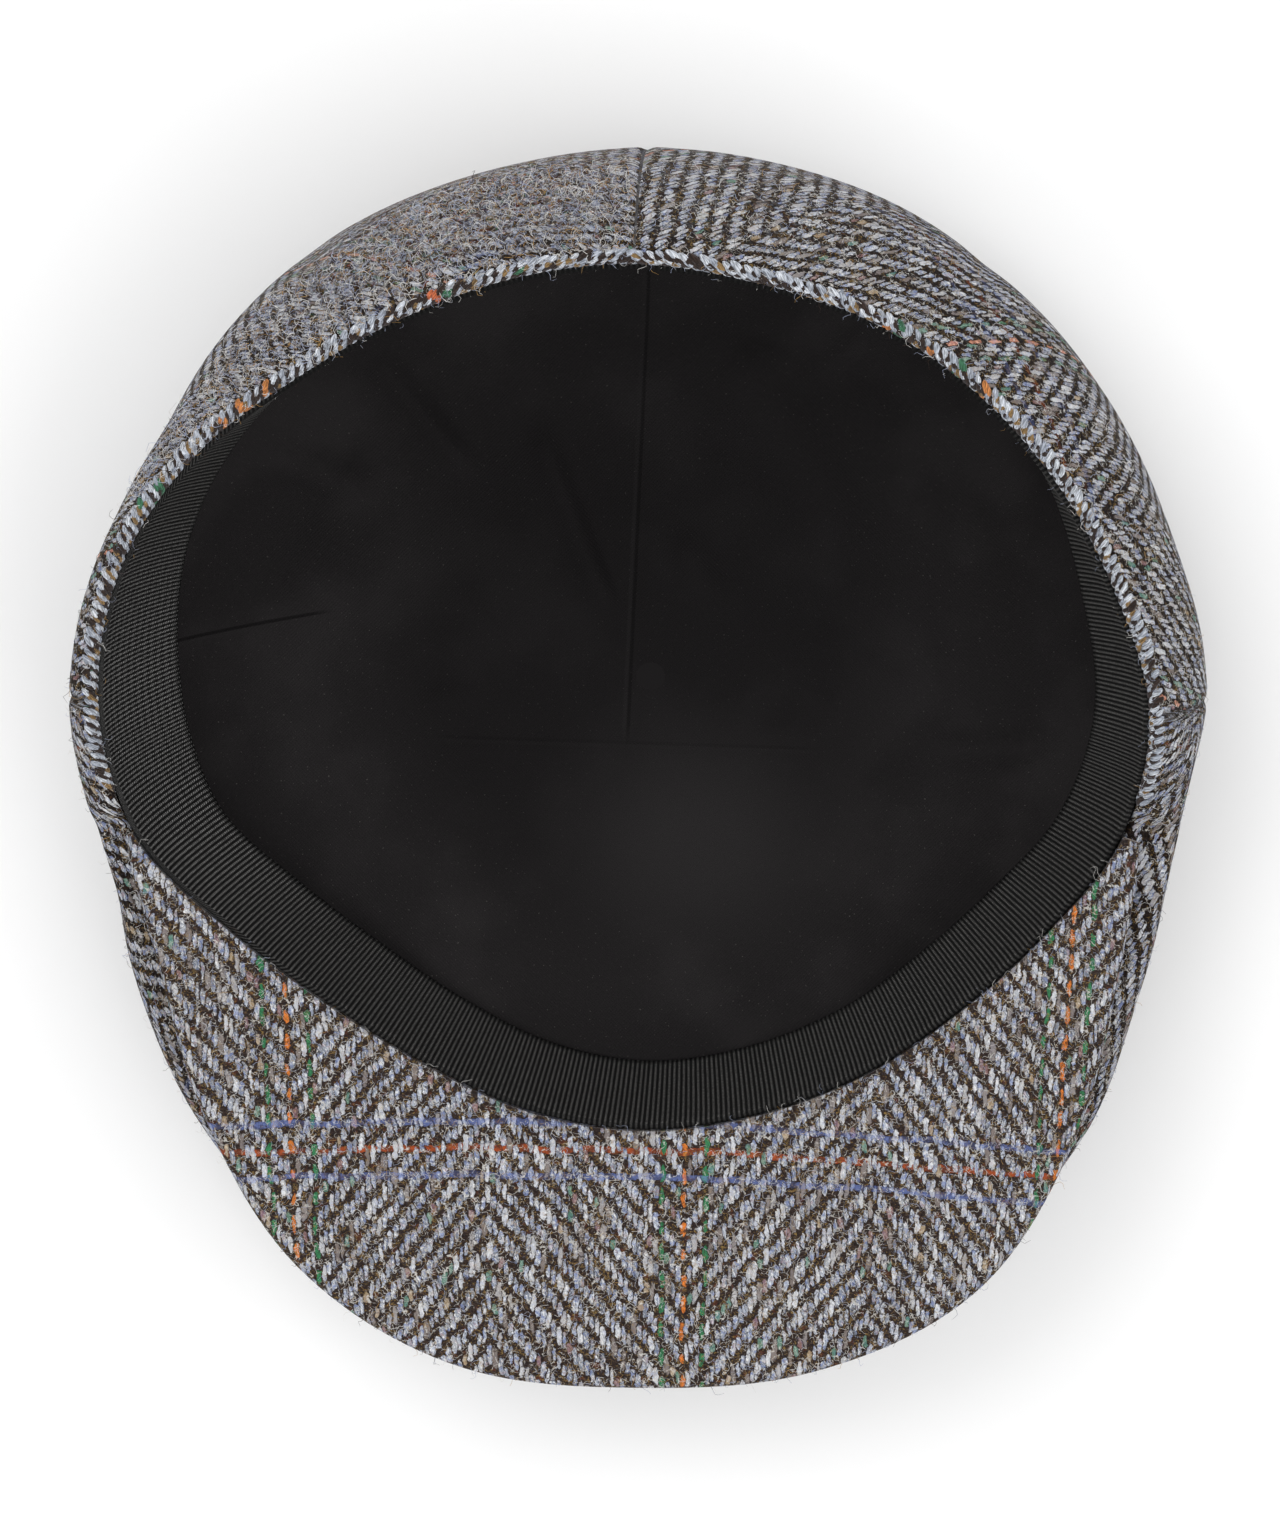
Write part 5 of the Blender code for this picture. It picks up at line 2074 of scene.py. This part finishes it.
@dataclass(frozen=True)
class Fleece:
    """The loose hairs that stand on the tweed, and the places that they keep to."""

    form: Form
    on_peak: Hairs = Hairs(5.5e5, seed=5)
    on_back: Hairs = Hairs(1.55e6, length=3.9 * MM, thickness=0.064 * MM, seed=7)
    on_side: Hairs = Hairs(3.0e5, seed=11)
    on_hem: Hairs = Hairs(1.3e5, length=2.4 * MM, lean=1.2, seed=13)
    peak_facing: float = 0.5
    back_facing: float = 0.32
    side_facing: float = 0.24
    lowest: float = 12 * MM
    back_start: float = 52 * MM
    from_seam: float = 2 * MM

    def faces(self, piece: Piece, label: str) -> Array:
        """Return one vector for each face of a piece: its center or its normal."""
        values = np.zeros(len(piece.data.polygons) * 3)
        piece.data.polygons.foreach_get(label, values)
        return values.reshape(-1, 3)

    def dress(self, crown: Piece, peak: Piece, hem: Piece) -> None:
        """Let the hairs grow on the tweed pieces.

        Args:
            crown: The crown's cloth.
            peak: The peak's cover.
            hem: The hem's yarns.
        """
        material = Fibre().material()
        on_peak = self.faces(peak, "normal")[:, 2] > self.peak_facing
        self.grow("peak_hairs", peak, on_peak, self.on_peak, material)
        middle = self.form.middle
        centres, normals = self.faces(crown, "center"), self.faces(crown, "normal")
        outside = np.sum((centres[:, :2] - middle) * normals[:, :2], axis=-1) > 0
        outside &= centres[:, 2] > self.lowest
        back = (centres[:, 1] > self.back_start) & (centres[:, 0] < middle[0] - self.from_seam)
        on_back = outside & back & (normals[:, 2] > self.back_facing)
        on_side = outside & ~back & (normals[:, 2] > self.side_facing)
        self.grow("crown_back_hairs", crown, on_back, self.on_back, material)
        self.grow("crown_side_hairs", crown, on_side, self.on_side, material)
        self.grow("hem_hairs", hem, np.ones(len(hem.data.polygons), dtype=bool), self.on_hem, material)

    def grow(self, name: str, piece: Piece, carrying: Array, hairs: Hairs, material: Material) -> None:
        """Let hairs stand on some faces of a piece.

        Args:
            name: The new piece's name.
            piece: The tweed that carries them.
            carrying: Which faces carry hairs.
            hairs: Their kind.
            material: Their finish.
        """
        work = bmesh.new()
        work.from_mesh(piece.data)
        work.faces.ensure_lookup_table()
        bare = [face for face in work.faces if not carrying[face.index]]
        bmesh.ops.delete(work, geom=bare, context="FACES")
        mesh = bpy.data.meshes.new(name + "_ground")
        work.to_mesh(mesh)
        work.free()
        ride(hairs.loom(material).run(name, mesh), Slot.TWEED)


@dataclass(frozen=True)
class Studio:
    """The floor, the light and the camera."""

    target: Triple = (0.0, -12.6 * MM, 45 * MM)
    distance: float = 1.3
    back_tilt: float = math.radians(7.0)
    right_tilt: float = math.radians(2.6)
    roll: float = math.radians(0.46)
    focal_pixels: float = 7027.0
    image_height: float = 1536.0
    sensor: float = 36.0
    floor_half: float = 3.0
    floor_dull: Colour = (0.96, 0.96, 0.96)
    floor_bright: Colour = (0.985, 0.985, 0.985)
    floor_roughness: float = 0.8
    surroundings: float = 0.9
    lamps: tuple[Lamp, ...] = (
        Lamp("key", (-0.9, 1.1, 1.9), 1.4, 13.0),
        Lamp("fill", (1.2, -0.6, 1.7), 1.6, 10.0),
    )

    def camera(self, middle: tuple[float, float]) -> None:
        """Set the camera at the photograph's angle.

        Args:
            middle: The place of the crown's middle.
        """
        away = Vector((math.tan(self.right_tilt), math.tan(self.back_tilt), 1.0)).normalized()
        right = Vector((0.0, 1.0, 0.0)).cross(away).normalized()
        turned_right = right * math.cos(self.roll) + away.cross(right) * math.sin(self.roll)
        place = Vector(self.target) + Vector((*middle, 0.0)) + away * self.distance
        data = bpy.data.cameras.new("camera")
        data.sensor_width = self.sensor
        data.lens = self.focal_pixels / self.image_height * self.sensor
        data.clip_end = 20.0
        data.dof.use_dof = False
        camera = linked("camera", data)
        turn = Matrix((turned_right, away.cross(turned_right), away)).transposed()
        camera.matrix_world = Matrix.Translation(place) @ turn.to_4x4()
        bpy.context.scene.camera = camera
        LOG.info("camera at %s", tuple(round(value, 5) for value in place))

    def floor(self) -> None:
        """Lay the pale floor."""
        half = self.floor_half
        mesh = bpy.data.meshes.new("floor")
        corners = [(-half, -half, 0.0), (half, -half, 0.0), (half, half, 0.0), (-half, half, 0.0)]
        mesh.from_pydata(corners, [], [(0, 1, 2, 3)])
        material = bpy.data.materials.new("pale_floor")
        material.use_nodes = True
        wires = Wires(material.node_tree)
        shader = material.node_tree.nodes["Principled BSDF"]
        cloud = wires.out("ShaderNodeTexCoord", output="Object").noise(6.0, 4.0)
        tone = wires.mix(cloud.band(0.3, 0.7), self.floor_dull, self.floor_bright)
        wires.feed(tone, shader.inputs["Base Color"])
        wires.feed(self.floor_roughness, shader.inputs["Roughness"])
        shown("floor", mesh, material)

    def lights(self) -> None:
        """Hang the soft lamps and set the pale surroundings."""
        world = bpy.data.worlds.new("studio")
        bpy.context.scene.world = world
        world.use_nodes = True
        bpy.context.scene.view_settings.view_transform = "Standard"
        back = world.node_tree.nodes["Background"]
        back.inputs["Color"].default_value = (1.0, 1.0, 1.0, 1.0)
        back.inputs["Strength"].default_value = self.surroundings
        for hung in self.lamps:
            data = bpy.data.lights.new(hung.name, "AREA")
            data.shape = "SQUARE"
            data.size = hung.size
            data.energy = hung.power
            lamp = linked(hung.name, data)
            lamp.location = hung.place
            lamp.rotation_euler = (-Vector(hung.place)).to_track_quat("-Z", "Y").to_euler()


def main() -> None:
    """Build and dress the cap, and set its stage."""
    logging.basicConfig(level=logging.INFO, format="%(message)s")
    form = Form()
    studio = Studio()
    studio.camera(form.middle)
    studio.lights()
    studio.floor()
    weave = Weave().group()
    crown = Crown(form).dress(weave)
    peak = Peak(form).dress(weave)
    Lining(form).dress()
    Sweatband(form).dress()
    hem = HemYarns(form, crown).dress()
    Fleece(form).dress(crown, peak, hem)


if __name__ == "__main__":
    main()
